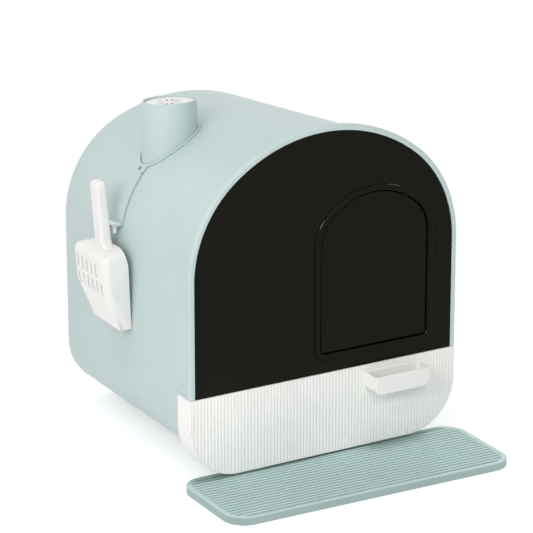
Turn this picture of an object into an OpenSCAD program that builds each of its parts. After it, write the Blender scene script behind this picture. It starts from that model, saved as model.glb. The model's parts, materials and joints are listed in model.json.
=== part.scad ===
// Hooded litter box with a pull-out drawer.
// The front faces -Y, +X is to the right seen from the front, +Z is up, and the
// origin lies on the floor under the middle of the hood and its front frame.

/* [Front frame] */
// Width over the front frame
frame_w = 430; // [420:1:444]
// Depth from the frame's face to the hood's rear wall
body_d = 405; // [380:1:430]
// Height of the line where the arch springs from the straight sides
spring_z = 296; // [286:1:310]
// Rise of the arch above the springing line
arch_rise = 189.5; // [182:0.5:196]
// How far the crown stands above the shoulders' own circles
arch_lift = 13.5; // [11:0.5:16]
// Thickness of the frame from front to back
frame_t = 8; // [7:0.5:10]
// Radius of the frame's front edge
frame_edge_r = 3; // [1:0.5:3]
// How far the frame stands proud of the hood all round
frame_step = 7.6; // [6:0.2:9]
// Width of the lip behind the panel
lip_w = 6; // [4:0.5:8]
// Length of the tongue that enters the hood
tongue_l = 8; // [5:0.5:9]
// Height of the cross bar over the drawer
sill_h = 12; // [8:1:16]
// Length of the ledges that cap the drawer's returns
ledge_l = 35; // [25:1:45]
// Thickness of those ledges
ledge_t = 3; // [2:0.5:5]

/* [Hood] */
// Thickness of the moulded walls
wall = 3; // [2.5:0.1:3.2]
// Half-width of the hood at its rear
rear_hw = 190; // [186:1:195]
// Springing height of the rear arch
rear_spring_z = 284.4; // [278:0.2:290]
// Rise of the rear arch
rear_rise = 157.4; // [152:0.2:162]
// How far the rear crown stands above its shoulders' circles
rear_lift = 9.4; // [8:0.2:12]
// Bottom corner radius at the front
front_corner_r = 85; // [80:1:90]
// Bottom corner radius at the rear
rear_corner_r = 75; // [72:1:80]
// Radius of the rear edge
rear_edge_r = 6; // [3:0.5:9]
// Height of the feet under the hood
foot_h = 20; // [18:0.5:24]
// Radius of a foot
foot_r = 15; // [12:0.5:18]
// Distance of the feet from the middle
foot_x = 100; // [80:1:110]
// Distance of the feet from the front and rear faces
foot_inset = 52; // [45:1:70]
// Radius of the screw posts inside the hood
post_r = 5; // [4.5:0.1:6]
// Length of the screw posts
post_l = 22; // [18:1:30]
// Height of the lowest screw posts above the cross bar
post_rise = 40; // [30:1:60]

/* [Panel and door] */
// Recess of the panel behind the frame's face
panel_recess = 1; // [0.5:0.1:2]
// Thickness of the panel
panel_t = 3.2; // [3:0.1:4]
// Clearance round the panel
panel_gap = 0.2; // [0.1:0.05:0.4]
// Distance of the door's middle from the frame's right side
door_inset = 136.6; // [131:0.2:155]
// Half-width of the door opening
door_hw = 88; // [80:1:90]
// Height of the door opening's lower edge
door_z = 160; // [152:1:170]
// Springing height of the door's arch
door_spring_z = 314; // [300:1:320]
// Rise of the door's arch
door_rise = 69; // [64:0.5:74]
// How far the door's crown stands above its shoulders' circles
door_lift = 12; // [10:0.5:14]
// Lower corner radius of the door opening
door_corner_r = 8; // [5:0.5:12]
// Gap round the flap
flap_gap = 2; // [1.8:0.1:3]
// Thickness of the flap
flap_t = 2.6; // [2.2:0.1:2.8]
// Width of the raised bead round the opening
bead_w = 8.7; // [6:0.1:10]
// Height of the bead over the panel
bead_h = 2.5; // [1:0.1:3.5]
// Distance of the hinge axis below the crown of the opening
hinge_drop = 14.7; // [13:0.1:17]
// Radius of the steel hinge pins
pin_r = 1; // [0.8:0.05:1.1]
// Radial running clearance of the pins
pin_play = 0.05; // [0.03:0.01:0.1]
// Radius of the lugs round the pins
lug_r = 2.6; // [2.2:0.1:3]

/* [Drawer] */
// Height of the drawer front's lower edge above the floor
drawer_z = 14; // [13:0.5:16]
// Height of the line between drawer and panel
drawer_top_z = 133; // [126:1:140]
// Gap between drawer and frame
drawer_gap = 0.6; // [0.4:0.1:1.5]
// Bottom corner radius of the drawer front
drawer_corner_r = 75.3; // [70:0.1:82]
// Thickness of the drawer front
front_t = 3.5; // [3:0.1:4]
// Depth of the returns that wrap round the hood
return_d = 35; // [28:1:40]
// Pitch of the upright ribs
rib_pitch = 5.25; // [4.5:0.05:7]
// Depth of the grooves between the ribs
rib_depth = 1.2; // [0.6:0.1:1.5]
// Half-width of the tray
tray_hw = 178; // [165:1:179]
// Wall of the tray
tray_wall = 2.5; // [2:0.1:3]
// Corner radius of the tray
tray_corner_r = 68; // [60:1:72]
// Width of the tray's rim
rim_w = 5; // [3:0.5:6]
// Distance of the tray's top below the drawer's top
tray_drop = 7; // [5:0.5:12]
// Distance of the tray's rear wall from the hood's rear face
tray_rear_gap = 18; // [12:1:30]
// Distance of the runners from the middle
runner_x = 80; // [60:1:90]
// Inner width of a runner
runner_w = 10; // [8:0.5:14]
// Height of a runner's cheeks over the hood's floor
runner_h = 4.5; // [3:0.1:5]
// Running clearance of the drawer
drawer_play = 0.3; // [0.2:0.05:0.5]
// Distance of the outer upper screw from the middle of the drawer
outer_screw_x = 150; // [130:1:160]
// Distance of the inner upper screw from the middle of the drawer
inner_screw_x = 60; // [40:1:90]
// Distance of the lower screws from the middle of the drawer
lower_screw_x = 100; // [80:1:110]
// Distance of the upper screws below the tray's top
upper_screw_drop = 18; // [12:1:24]
// Height of the lower screws above the tray's floor
lower_screw_rise = 14; // [10:1:20]

/* [Drawer pull] */
// Distance of the pull's middle from the drawer's right end
pull_inset = 107.2; // [100:0.2:125]
// Width of the pull
pull_w = 88.5; // [70:0.5:100]
// Height of the pull's lower edge
pull_z = 96; // [84:1:99]
// Height of the pull at the drawer's face
pull_h = 27; // [24:1:32]
// How far the pull stands out
pull_d = 30.5; // [24:0.5:36]
// Fall of the pull's side plates towards the front
pull_fall = 5.5; // [2:0.5:8]
// Wall of the pull
pull_wall = 2.6; // [2:0.1:3.5]
// Lower corner radius of the pull
pull_corner_r = 10; // [8:0.5:13]
// Reach of the smooth pad beyond the pull, to the right
pad_side = 11; // [6:0.5:16]
// Reach of the smooth pad above the pull
pad_top = 5; // [3:0.5:6]

/* [Vent] */
// Distance of the chimney's axis from the frame's left side
vent_inset = 101; // [95:0.5:107]
// Place of the chimney's axis along the hood
vent_y = 26; // [10:1:40]
// Outer radius of the chimney below its draft
vent_r = 40.4; // [37:0.5:41]
// Draft of the chimney, from its foot in the hood to its rim
vent_draft = 2.5; // [0:0.1:3]
// Wall of the chimney
vent_wall = 2.5; // [2:0.1:3]
// Height of the chimney's rim over the floor, at its front
vent_top_z = 489; // [482:1:500]
// Fall of the rim towards the rear, in degrees
rim_fall = 5.2; // [0:0.2:7]
// How far the chimney reaches down inside the hood
vent_drop = 110; // [108:1:125]
// Width of the saddle round the chimney's foot
saddle_w = 2.2; // [2:0.1:5]
// Thickness of the saddle
saddle_t = 3; // [2:0.1:4]
// Clearance between the saddle or the hanger and the hood
seat_gap = 0.2; // [0.1:0.05:0.3]
// Recess of the cap below the chimney's rim
cap_recess = 3; // [2:0.5:5]
// Thickness of the cap
cap_t = 2.6; // [2:0.1:3.5]
// Depth of the cap's skirt at its rear
skirt_h = 6; // [5:0.5:9]
// Wall of the skirt
skirt_t = 2; // [1.6:0.1:2.4]
// Radial clearance of the cap in the chimney
cap_play = 0.4; // [0.3:0.05:0.6]
// Radius of the four large air holes
air_hole_r = 3.4; // [2.5:0.1:4]
// Radius of the small air holes
small_hole_r = 1.5; // [1:0.1:2]
// Height of the filter basket
basket_h = 38; // [30:1:44]
// Wall of the filter basket
basket_wall = 1.8; // [1.5:0.1:2.4]
// Thickness of the carbon pad
pad_t = 10; // [6:0.5:14]

/* [Scoop and hanger] */
// Place of the hanger's and scoop's middle along the hood
hang_y = 27; // [24:1:38]
// Width of the hanger strap
strap_w = 24; // [20:1:30]
// Thickness of the strap
strap_t = 2.6; // [2:0.1:3.5]
// Height of the strap's upper end
strap_top_z = 389; // [380:1:390]
// Height of the shelf's upper face
shelf_z = 321.5; // [318:0.5:330]
// Thickness of the shelf
shelf_t = 2.6; // [2:0.1:3.5]
// How far the shelf stands out from the hood's side
shelf_reach = 14; // [13:0.5:16]
// Radius of the fillet between strap and shelf
shelf_fillet = 3; // [1:0.5:4]
// Depth of the slot in the shelf
slot_d = 5.4; // [5:0.1:6.5]
// Width of the rim round the slot
slot_rim = 2.8; // [2:0.1:3.5]
// Thickness of the scoop's hook
hook_t = 4.4; // [4:0.1:4.6]
// Length of the hook below the shelf's upper face
hook_l = 12.5; // [10:0.5:15]
// Lean of the hanging scoop, away from the hood at its top, in degrees
scoop_lean = 4.6; // [0:0.2:5]
// Width of the scoop's basin
scoop_w = 100; // [84:1:106]
// Distance of the basin's top below the shelf's upper face
scoop_drop = 27.5; // [26:0.5:34]
// Length of the upright part of the basin
scoop_back_l = 54; // [46:1:60]
// Length of the basin from its top to its lip
scoop_l = 116; // [105:0.5:122]
// Distance of the basin's open rim from the hook, outwards
scoop_rim_out = 4.6; // [4.4:0.1:8]
// Depth of the basin
scoop_d = 36.5; // [28:0.5:40]
// Depth left at the lip
scoop_lip_d = 17; // [12:1:24]
// How much narrower the basin is at its lip, on each side
scoop_lip_taper = 8; // [3:0.5:12]
// Shoulder radius of the basin's open rim
scoop_shoulder_r = 24; // [14:1:28]
// Radius of the basin's outer edges
scoop_edge_r = 10; // [6:0.5:12]
// Wall of the scoop
scoop_wall = 2; // [1.6:0.1:2.6]
// Width of a slot in the scoop
scoop_slot_w = 3.6; // [3:0.1:4.5]
// Length of a slot in the scoop
scoop_slot_l = 19; // [14:1:20]
// Pitch of the slots
scoop_slot_pitch = 14; // [11:0.5:14.5]
// Distance of the upper slots below the basin's top
scoop_slot_drop = 18; // [16:0.5:22]
// Distance between the two rows of slots
scoop_slot_gap = 5.5; // [3:0.5:7]
// Height of the handle's end above the shelf
handle_rise = 65; // [50:0.5:75]
// Width of the handle at its foot
handle_w = 26; // [22:0.5:30]
// Width of the handle at its end
handle_end_w = 24; // [20:0.5:27]
// Thickness of the handle
handle_t = 16; // [12:0.5:18]
// Corner radius of the handle
handle_r = 5; // [3:0.5:6]
// Distance of the handle's inner face from the hook
handle_out = 8; // [7.6:0.2:10]
// Spread of the handle's foot on the basin
handle_flare = 5; // [2:0.5:8]

/* [Mat] */
// Length of the mat
mat_l = 444; // [400:1:470]
// Width of the mat
mat_w = 159; // [140:1:180]
// Thickness of the mat
mat_t = 11; // [8:0.5:12]
// Corner radius of the mat
mat_corner_r = 32; // [20:1:45]
// How far the mat is tucked under the drawer
mat_tuck = 17; // [5:1:22]
// Sideways place of the mat
mat_x = -2; // [-20:1:20]
// Turn of the mat on the floor
mat_turn = -1.8; // [-3:0.1:3]
// Width of the mat's smooth border
mat_border = 8; // [6:0.5:12]
// Pitch of the mat's ribs
mat_rib_pitch = 8.1; // [6:0.1:10]
// Height of the mat's ribs
mat_rib_h = 1.8; // [1:0.1:2.5]

/* [Hidden] */
$fn = 96;

mint = [0.74, 0.84, 0.82];
mat_green = [0.62, 0.74, 0.73];
white = [0.93, 0.93, 0.91];
black = [0.09, 0.09, 0.085];
steel = [0.70, 0.71, 0.72];
carbon = [0.16, 0.16, 0.17];
rubber = [0.25, 0.26, 0.26];

eps = 0.01;
slab = 0.5;
frame_hw = frame_w / 2;
face_y = -body_d / 2;
rear_y = body_d / 2;
hood_y = face_y + frame_t;
panel_inset = frame_step + 0.3;
lip_y = face_y + panel_recess + panel_t;
lip_inset = panel_inset + lip_w;
sill_y = hood_y + 4.5;
sill_z = drawer_top_z + drawer_gap / 2;
floor_z = foot_h + wall;

door_x = frame_hw - door_inset;
door_mid_y = face_y + panel_recess + panel_t / 2;
hinge_z = door_spring_z + door_rise - hinge_drop;
// Half-width of the opening, and of the flap, at the height of the hinge axis
lug_x = crown_half_width(door_hw, door_rise, door_lift, hinge_drop);
flap_x = crown_half_width(door_hw - flap_gap, door_rise - flap_gap, door_lift, hinge_drop - flap_gap);
lug_l = 7;
pin_in = 10;
boss_r = pin_r + 1.1;

screw_r = 1.5;
screw_head_r = 3;
screw_head_h = 2;
screw_play = 0.05;
post_inset = frame_step + wall + post_r - 1.5;

front_y = face_y + front_t;
drawer_top = drawer_top_z - drawer_gap / 2;
tray_top = drawer_top - tray_drop;
runner_base = 1.5;
skid_z = floor_z + runner_base + drawer_play;
tray_z = floor_z + runner_h + 1.2;
tray_rear = rear_y - tray_rear_gap;
pull_x = frame_hw - pull_inset;

vent_x = vent_inset - frame_hw;
vent_low = vent_top_z - vent_drop;
rim_r = vent_r - vent_draft;
vent_in = rim_r - vent_wall;
cap_r = vent_in - cap_play;
cap_low = vent_top_z - cap_recess - cap_t - (rim_r + cap_r) * tan(rim_fall);
skirt_z = cap_low - skirt_h;
ledge_z = skirt_z - 0.3;
ledge_h = 3;
basket_r = cap_r - skirt_t - 0.3;
basket_top = cap_low - 0.3;
basket_z = basket_top - basket_h;
basket_floor = 2;

side_draft = atan((frame_hw - frame_step - rear_hw) / (rear_y - hood_y));
slot_out = shelf_reach - slot_rim - slot_d / 2;
hook_gap = 0.3;
mat_y = face_y + mat_tuck - mat_w / 2;

// Half-width of a three-centred arch where it is `drop` below its crown
function crown_half_width(hw, rise, lift, drop) =
    let (a = hw - rise + lift, k = (a * a - lift * lift) / (2 * lift), r = rise + k)
    sqrt(r * r - (r - drop) * (r - drop));

// Distance of the shoulder circles' centres from the middle, for the front arch
function shoulder_x() = frame_hw - arch_rise + arch_lift;

// Screw places in X and Z on the right side, `post_inset` inside the frame's outline
function post_places() = [
    [frame_hw - post_inset, sill_z + post_rise],
    for (turn = [6, 46]) [
        shoulder_x() + (arch_rise - arch_lift - post_inset) * cos(turn),
        spring_z + (arch_rise - arch_lift - post_inset) * sin(turn)]];

// Half-width of the hood's straight sides at depth y
function hood_side(y) = frame_hw - frame_step - (y - hood_y) * tan(side_draft);

// Outer radius of the drafted chimney at height z
function vent_r_at(z) = vent_r - vent_draft * (z - vent_low) / vent_drop;

// Draws an outline in X and Z and extrudes it from y0 to y1
module along_y(y0, y1) {
    translate([0, y1, 0]) rotate([90, 0, 0]) linear_extrude(y1 - y0) children();
}

// Three-centred arch over straight sides that end at zb
module arch(hw, rise, lift, zs, zb) {
    r = rise - lift;
    a = hw - r;
    k = (a * a - lift * lift) / (2 * lift);
    crown_r = rise + k;
    reach = 1.5 * crown_r / k;
    intersection() {
        union() {
            intersection() {
                translate([0, zs - k]) circle(crown_r);
                polygon([[0, zs - k], [reach * a, zs - k + reach * k], [-reach * a, zs - k + reach * k]]);
            }
            for (s = [-1, 1]) translate([s * a, zs]) circle(r);
            translate([-hw, zb]) square([2 * hw, zs - zb]);
        }
        translate([-hw, zb]) square([2 * hw, zs + rise - zb]);
    }
}

// Upright outline with rounded lower corners, open in width up to `top`
module tub(hw, zb, r, top) {
    intersection() {
        union() {
            translate([-hw, zb + r]) square([2 * hw, top - zb]);
            translate([r - hw, zb]) square([2 * (hw - r), top - zb]);
            for (s = [-1, 1]) translate([s * (hw - r), zb + r]) circle(r);
        }
        translate([-hw, zb]) square([2 * hw, top - zb]);
    }
}

// The frame's outline, drawn in by `inset`, down to height zb
module front_arch(inset, zb) {
    arch(frame_hw - inset, arch_rise - inset, arch_lift, spring_z, zb);
}

// Points on an arc round c, from one angle to the other
function arc(c, r, from, to, steps) = [for (i = [0 : steps])
    let (turn = from + (to - from) * i / steps) [c.x + r * cos(turn), c.y + r * sin(turn)]];

// Right half of a three-centred arch that stands on rounded lower corners
function tunnel(hw, rise, lift, zs, zb, corner) =
    let (r = rise - lift, a = hw - r, k = (a * a - lift * lift) / (2 * lift), meet = atan2(k, a))
    concat(arc([hw - corner, zb + corner], corner, -90, 0, 10),
           arc([a, zs], r, 0, meet, 12),
           [for (i = [1 : 8]) arc([0, zs - k], rise + k, meet, 90, 8)[i]]);

// Cross-section of the hood at depth y, grown outwards by `grow`
module hood_section(y, grow) {
    t = (y - hood_y) / (rear_y - hood_y);
    right = tunnel(
        hw = (1 - t) * (frame_hw - frame_step) + t * rear_hw + grow,
        rise = (1 - t) * (arch_rise - frame_step) + t * rear_rise + grow,
        lift = (1 - t) * arch_lift + t * rear_lift,
        zs = (1 - t) * spring_z + t * rear_spring_z,
        zb = foot_h - grow,
        corner = (1 - t) * front_corner_r + t * rear_corner_r + grow);
    last = len(right) - 1;
    polygon(concat(right, [for (i = [1 : last]) [-right[last - i].x, right[last - i].y]]));
}

// The drafted hood as one solid from y0 to y1, with its rear edge rounded
module hood_solid(grow, y0, y1) {
    edge = max(rear_edge_r + grow, 1);
    hull() {
        along_y(y0, y0 + slab) hood_section(y0, grow);
        for (turn = [0, 45, 90])
            along_y(y1 - edge * (1 - sin(turn)) - slab, y1 - edge * (1 - sin(turn)))
                hood_section(y1, grow - edge * (1 - cos(turn)));
    }
}

// A skin of thickness t that follows the hood's outside
module hood_skin(t) {
    difference() {
        hood_solid(seat_gap + t, hood_y, rear_y);
        hood_solid(seat_gap, hood_y - 1, rear_y + 1);
    }
}

// Door opening, grown by `grow`
module door(grow) {
    translate([door_x, 0]) {
        arch(door_hw + grow, door_rise + grow, door_lift, door_spring_z, door_z + door_corner_r);
        tub(door_hw + grow, door_z - grow, door_corner_r + grow, door_spring_z);
    }
}

// Rod along X from x0 to x1 on the door's hinge axis
module hinge_rod(r, x0, x1) {
    for (s = [-1, 1])
        translate([door_x + (s > 0 ? x0 : -x1), door_mid_y, hinge_z])
            rotate([0, 90, 0]) cylinder(r = r, h = x1 - x0);
}

// Pan-head screw that points to +Y with the top of its head at the origin
module screw(length) {
    rotate([-90, 0, 0]) {
        difference() {
            cylinder(r = screw_head_r, h = screw_head_h);
            translate([0, 0, -eps]) for (turn = [0, 90]) rotate([0, 0, turn])
                translate([-1.8, -0.4, 0]) cube([3.6, 0.8, 1]);
        }
        cylinder(r = screw_r, h = screw_head_h + length);
    }
}

// Puts a child at each screw place, on both sides
module at_posts(y) {
    for (p = post_places()) for (s = [-1, 1]) translate([s * p.x, y, p.y]) children();
}

module hood_shell() {
    color(mint) difference() {
        union() {
            difference() {
                hood_solid(0, hood_y, rear_y);
                hood_solid(-wall, hood_y - 1, rear_y - wall);
            }
            intersection() {
                at_posts(hood_y + tongue_l) rotate([-90, 0, 0]) cylinder(r = post_r, h = post_l);
                hood_solid(-1, hood_y, rear_y);
            }
        }
        translate([vent_x, vent_y, spring_z]) cylinder(r = vent_r + seat_gap, h = vent_top_z);
        at_posts(hood_y + tongue_l - 1) rotate([-90, 0, 0]) cylinder(r = screw_r + screw_play, h = post_l - 2);
    }
}

module front_frame() {
    edge_steps = 3;
    color(mint) difference() {
        union() {
            for (i = [0 : edge_steps - 1]) {
                turn = 90 * (i + 0.5) / edge_steps;
                along_y(face_y + frame_edge_r * (1 - cos(90 * i / edge_steps)), hood_y)
                    front_arch(frame_edge_r * (1 - sin(turn)) * (i < edge_steps - 1 ? 1 : 0), sill_z);
            }
            along_y(lip_y, hood_y + tongue_l) front_arch(tongue_inset(), sill_z);
            for (s = [0, 1]) mirror([s, 0, 0]) translate([0, 0, sill_z]) linear_extrude(ledge_t) ledge_plan();
        }
        along_y(face_y - 1, lip_y) front_arch(panel_inset - panel_gap, sill_z - 1);
        difference() {
            along_y(lip_y - 1, hood_y + tongue_l + 1) front_arch(lip_inset, sill_z - 1);
            at_posts(lip_y) rotate([-90, 0, 0]) cylinder(r = post_r, h = hood_y + tongue_l - lip_y);
            translate([-frame_hw, lip_y, sill_z]) cube([frame_w, sill_y - lip_y, sill_h]);
        }
        at_posts(lip_y - 1) rotate([-90, 0, 0]) cylinder(r = screw_r + screw_play, h = frame_t + tongue_l + 2);
        at_posts(lip_y - 1) rotate([-90, 0, 0]) cylinder(r = screw_head_r + 0.2, h = screw_head_h + 1.2);
    }
}

// Inset of the tongue, clear of the hood's drafted inner wall
function tongue_inset() = let (slope = (spring_z + arch_rise - frame_step - rear_spring_z - rear_rise)
    / (rear_y - hood_y)) frame_step + wall + slope * tongue_l + 0.3;

// Plan of the ledge over a drawer return, tapering off along the hood
module ledge_plan() {
    slope = tan(side_draft);
    inner = frame_hw - frame_step + seat_gap;
    polygon([[inner, hood_y - 1], [frame_hw, hood_y - 1], [frame_hw, hood_y + 3],
             [inner - slope * ledge_l + 0.8, hood_y + ledge_l], [inner - slope * ledge_l, hood_y + ledge_l],
             [inner, hood_y]]);
}

module front_panel() {
    panel_y = face_y + panel_recess;
    color(black) difference() {
        union() {
            difference() {
                union() {
                    along_y(panel_y, lip_y) front_arch(panel_inset, sill_z);
                    for (step = [[0, 0.45], [0.9, 0.8], [2.2, 1]])
                        along_y(panel_y - bead_h * step[1], lip_y) difference() {
                            door(bead_w - step[0]);
                            door(step[0] - eps);
                        }
                }
                along_y(panel_y - bead_h - 1, lip_y + 1) door(0);
            }
            intersection() {
                hinge_rod(lug_r, lug_x + 0.4, lug_x + lug_l);
                translate([door_x - door_hw, panel_y, hinge_z - lug_r]) cube([2 * door_hw, 2 * lug_r, 2 * lug_r]);
            }
        }
        hinge_rod(pin_r + pin_play, flap_x, lug_x + lug_l - 1);
    }
}

module door_flap() {
    flap_y = door_mid_y - flap_t / 2;
    color(black) difference() {
        union() {
            difference() {
                along_y(flap_y, flap_y + flap_t) door(-flap_gap);
                hinge_rod(lug_r + flap_gap, flap_x + 0.5, door_hw);
            }
            intersection() {
                hinge_rod(boss_r, flap_x - pin_in - 2, flap_x - 2);
                translate([door_x - door_hw, flap_y, hinge_z - boss_r]) cube([2 * door_hw, 2 * boss_r, 2 * boss_r]);
            }
        }
        hinge_rod(pin_r + pin_play, flap_x - pin_in, door_hw);
    }
}

module hinge_pins() {
    color(steel) hinge_rod(pin_r, flap_x - pin_in + 0.2, lug_x + lug_l - 1.2);
}

module frame_screws() {
    color(steel) at_posts(lip_y + 0.2) screw(tongue_l + post_l - 8);
}

module feet() {
    color(rubber) for (s = [-1, 1]) for (y = [face_y + foot_inset, rear_y - foot_inset])
        translate([s * foot_x, y, 0]) rotate_extrude()
            polygon([[0, 0], [foot_r - 2, 0], [foot_r, 2], [foot_r, 6], [foot_r - 3, 9],
                     [foot_r - 3, foot_h], [0, foot_h]]);
}

module drawer_runners() {
    cheek = 3;
    color(white) for (s = [-1, 1]) translate([s * runner_x, 0, 0])
        along_y(hood_y + 6, tray_rear) difference() {
            translate([-runner_w / 2 - cheek, floor_z]) square([runner_w + 2 * cheek, runner_h]);
            translate([-runner_w / 2, floor_z + runner_base]) square([runner_w, runner_h]);
        }
}

module drawer_tray() {
    color(white) difference() {
        union() {
            along_y(front_y, tray_rear) tub(tray_hw, tray_z, tray_corner_r, tray_top);
            translate([-tray_hw - rim_w, front_y, tray_top - tray_wall])
                cube([2 * (tray_hw + rim_w), tray_rear + rim_w - front_y, tray_wall]);
            for (s = [-1, 1]) translate([s * runner_x - runner_w / 2 + drawer_play, front_y, skid_z])
                cube([runner_w - 2 * drawer_play, tray_rear - front_y, tray_z - skid_z + 1]);
        }
        along_y(front_y + tray_wall, tray_rear - tray_wall)
            tub(tray_hw - tray_wall, tray_z + tray_wall, tray_corner_r - tray_wall, tray_top + 1);
        at_front_screws() rotate([-90, 0, 0]) cylinder(r = screw_r + screw_play, h = 2 * front_t, center = true);
        at_pull_screws() rotate([-90, 0, 0]) cylinder(r = screw_r + screw_play, h = 2 * front_t, center = true);
    }
}

// Screw places on the drawer's rear face
module at_front_screws() {
    for (x = [-outer_screw_x, -inner_screw_x])
        translate([x, front_y + tray_wall, tray_top - upper_screw_drop]) children();
    for (x = [-lower_screw_x, lower_screw_x])
        translate([x, front_y + tray_wall, tray_z + lower_screw_rise]) children();
}

module at_pull_screws() {
    for (s = [-1, 1]) translate([pull_x + s * pull_w / 4, front_y + tray_wall, pull_z + pull_h / 2]) children();
}

// Plan of the ribbed face: round ribs side by side in front of a flat back
module rib_plan() {
    rib_r = (rib_pitch * rib_pitch / 4 + rib_depth * rib_depth) / (2 * rib_depth);
    count = floor(frame_w / rib_pitch / 2);
    translate([-frame_hw, face_y + rib_depth]) square([frame_w, front_t - rib_depth]);
    intersection() {
        translate([-frame_hw, face_y]) square([frame_w, rib_depth + eps]);
        for (i = [-count : count]) translate([i * rib_pitch, face_y + rib_r]) circle(rib_r);
    }
}

module drawer_front() {
    color(white) difference() {
        union() {
            intersection() {
                linear_extrude(drawer_top) rib_plan();
                along_y(face_y - 1, front_y) tub(frame_hw, drawer_z, drawer_corner_r, drawer_top);
            }
            along_y(face_y + rib_depth, face_y + return_d) difference() {
                tub(frame_hw, drawer_z, drawer_corner_r, drawer_top);
                tub(frame_hw - front_t, drawer_z + front_t, drawer_corner_r - front_t, drawer_top + 1);
            }
            translate([pull_x - pull_w / 2, face_y, pull_z])
                cube([pull_w + pad_side, front_t, pull_h + pad_top]);
        }
        at_front_screws() rotate([90, 0, 0])
            cylinder(r = screw_r + screw_play, h = tray_wall + front_t - rib_depth - 0.8);
        at_pull_screws() rotate([90, 0, 0]) cylinder(r = screw_r + screw_play, h = tray_wall + front_t + 1);
    }
}

module drawer_pull() {
    hw = pull_w / 2;
    color(white) difference() {
        translate([pull_x, 0, 0]) difference() {
            along_y(face_y - pull_d, face_y) tub(hw, pull_z, pull_corner_r, pull_z + pull_h);
            along_y(face_y - pull_d + pull_wall, face_y - pull_wall)
                tub(hw - pull_wall, pull_z + pull_wall, pull_corner_r - pull_wall, pull_z + pull_h + 1);
            rotate([90, 0, 90]) translate([0, 0, -hw - 1]) linear_extrude(pull_w + 2)
                polygon([[face_y, pull_z + pull_h], [face_y - pull_d - 1, pull_z + pull_h - pull_fall],
                         [face_y - pull_d - 1, pull_z + pull_h + 5], [face_y, pull_z + pull_h + 5]]);
        }
        at_pull_screws() rotate([90, 0, 0]) cylinder(r = screw_r + screw_play, h = tray_wall + front_t + pull_wall - 0.4);
    }
}

module front_screws() {
    color(steel) at_front_screws() translate([0, screw_head_h, 0]) rotate([0, 0, 180]) screw(tray_wall + 1);
}

module pull_screws() {
    color(steel) at_pull_screws() translate([0, screw_head_h, 0]) rotate([0, 0, 180])
        screw(tray_wall + front_t + pull_wall - 0.6);
}

// Everything above the sloping rim, lowered by `drop`, about the chimney's axis
module above_rim(drop) {
    translate([-2 * vent_r, -rim_r, vent_top_z - drop]) rotate([-rim_fall, 0, 0])
        translate([0, -vent_r, 0]) cube([4 * vent_r, 4 * vent_r, vent_drop]);
}

module vent_chimney() {
    color(mint) difference() {
        union() {
            translate([vent_x, vent_y, vent_low]) cylinder(r1 = vent_r, r2 = rim_r, h = vent_drop);
            intersection() {
                hood_skin(saddle_t);
                translate([vent_x, vent_y, spring_z]) cylinder(r = vent_r + saddle_w, h = vent_top_z);
            }
        }
        translate([vent_x, vent_y, 0]) {
            translate([0, 0, vent_low - 1])
                cylinder(r1 = vent_r - vent_wall, r2 = vent_r_at(ledge_z) - vent_wall, h = ledge_z - ledge_h - vent_low + 1);
            translate([0, 0, vent_low - 1]) cylinder(r = vent_in - 2, h = vent_drop);
            translate([0, 0, ledge_z]) cylinder(r = vent_in, h = vent_drop);
            above_rim(0);
        }
    }
}

// Places of the cap's air holes round its middle
module air_hole(r, out, turn) {
    rotate([0, 0, turn]) translate([out, 0, skirt_z]) cylinder(r = r, h = vent_drop);
}

module vent_cap() {
    color(white) translate([vent_x, vent_y, 0]) difference() {
        translate([0, 0, skirt_z]) cylinder(r = cap_r, h = vent_top_z - skirt_z);
        above_rim(cap_recess);
        difference() {
            translate([0, 0, skirt_z - 1]) cylinder(r = cap_r - skirt_t, h = vent_top_z - skirt_z);
            above_rim(cap_recess + cap_t);
        }
        for (i = [0 : 3]) {
            air_hole(air_hole_r, cap_r * 0.5, 45 + 90 * i);
            air_hole(small_hole_r, cap_r * 0.3, 90 * i);
        }
        for (i = [0 : 7]) air_hole(small_hole_r, cap_r * 0.76, 22.5 + 45 * i);
        air_hole(small_hole_r, 0, 0);
    }
}

module filter_basket() {
    color(white) translate([vent_x, vent_y, basket_z]) difference() {
        cylinder(r = basket_r, h = basket_h);
        translate([0, 0, basket_floor]) cylinder(r = basket_r - basket_wall, h = basket_h);
        for (y = [-18 : 9 : 18]) translate([-sqrt(26 * 26 - y * y), y - 2, -1])
            cube([2 * sqrt(26 * 26 - y * y), 4, basket_floor + 2]);
    }
}

module carbon_pad() {
    color(carbon) translate([vent_x, vent_y, basket_z + basket_floor + 0.2])
        cylinder(r = basket_r - basket_wall - 0.5, h = pad_t);
}

// Puts a child against the hood's left side at the hanger, with x = 0 on the wall and -x outwards
module at_hanger() {
    translate([-hood_side(hang_y), hang_y, 0]) rotate([0, 0, -side_draft]) children();
}

module scoop_hanger() {
    strap_low = shelf_z - shelf_t;
    color(mint) difference() {
        union() {
            intersection() {
                hood_skin(strap_t);
                at_hanger() translate([-shelf_reach, -strap_w / 2, strap_low])
                    cube([shelf_reach + hood_side(hang_y) + vent_x, strap_w, strap_top_z - strap_low]);
            }
            difference() {
                at_hanger() {
                    translate([-shelf_reach, -strap_w / 2, strap_low])
                        cube([shelf_reach + wall, strap_w, shelf_t]);
                    translate([0, strap_w / 2, shelf_z]) rotate([90, 0, 0]) linear_extrude(strap_w)
                        shelf_corner();
                }
                hood_solid(seat_gap + 0.5, hood_y - 1, rear_y + 1);
            }
        }
        at_hanger() translate([-slot_out - slot_d / 2, -strap_w / 2 + slot_rim, strap_low - 1])
            cube([slot_d, strap_w - 2 * slot_rim, shelf_t + 2]);
        translate([vent_x, vent_y, spring_z]) cylinder(r = vent_r + saddle_w + 0.3, h = vent_top_z);
    }
}

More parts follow.
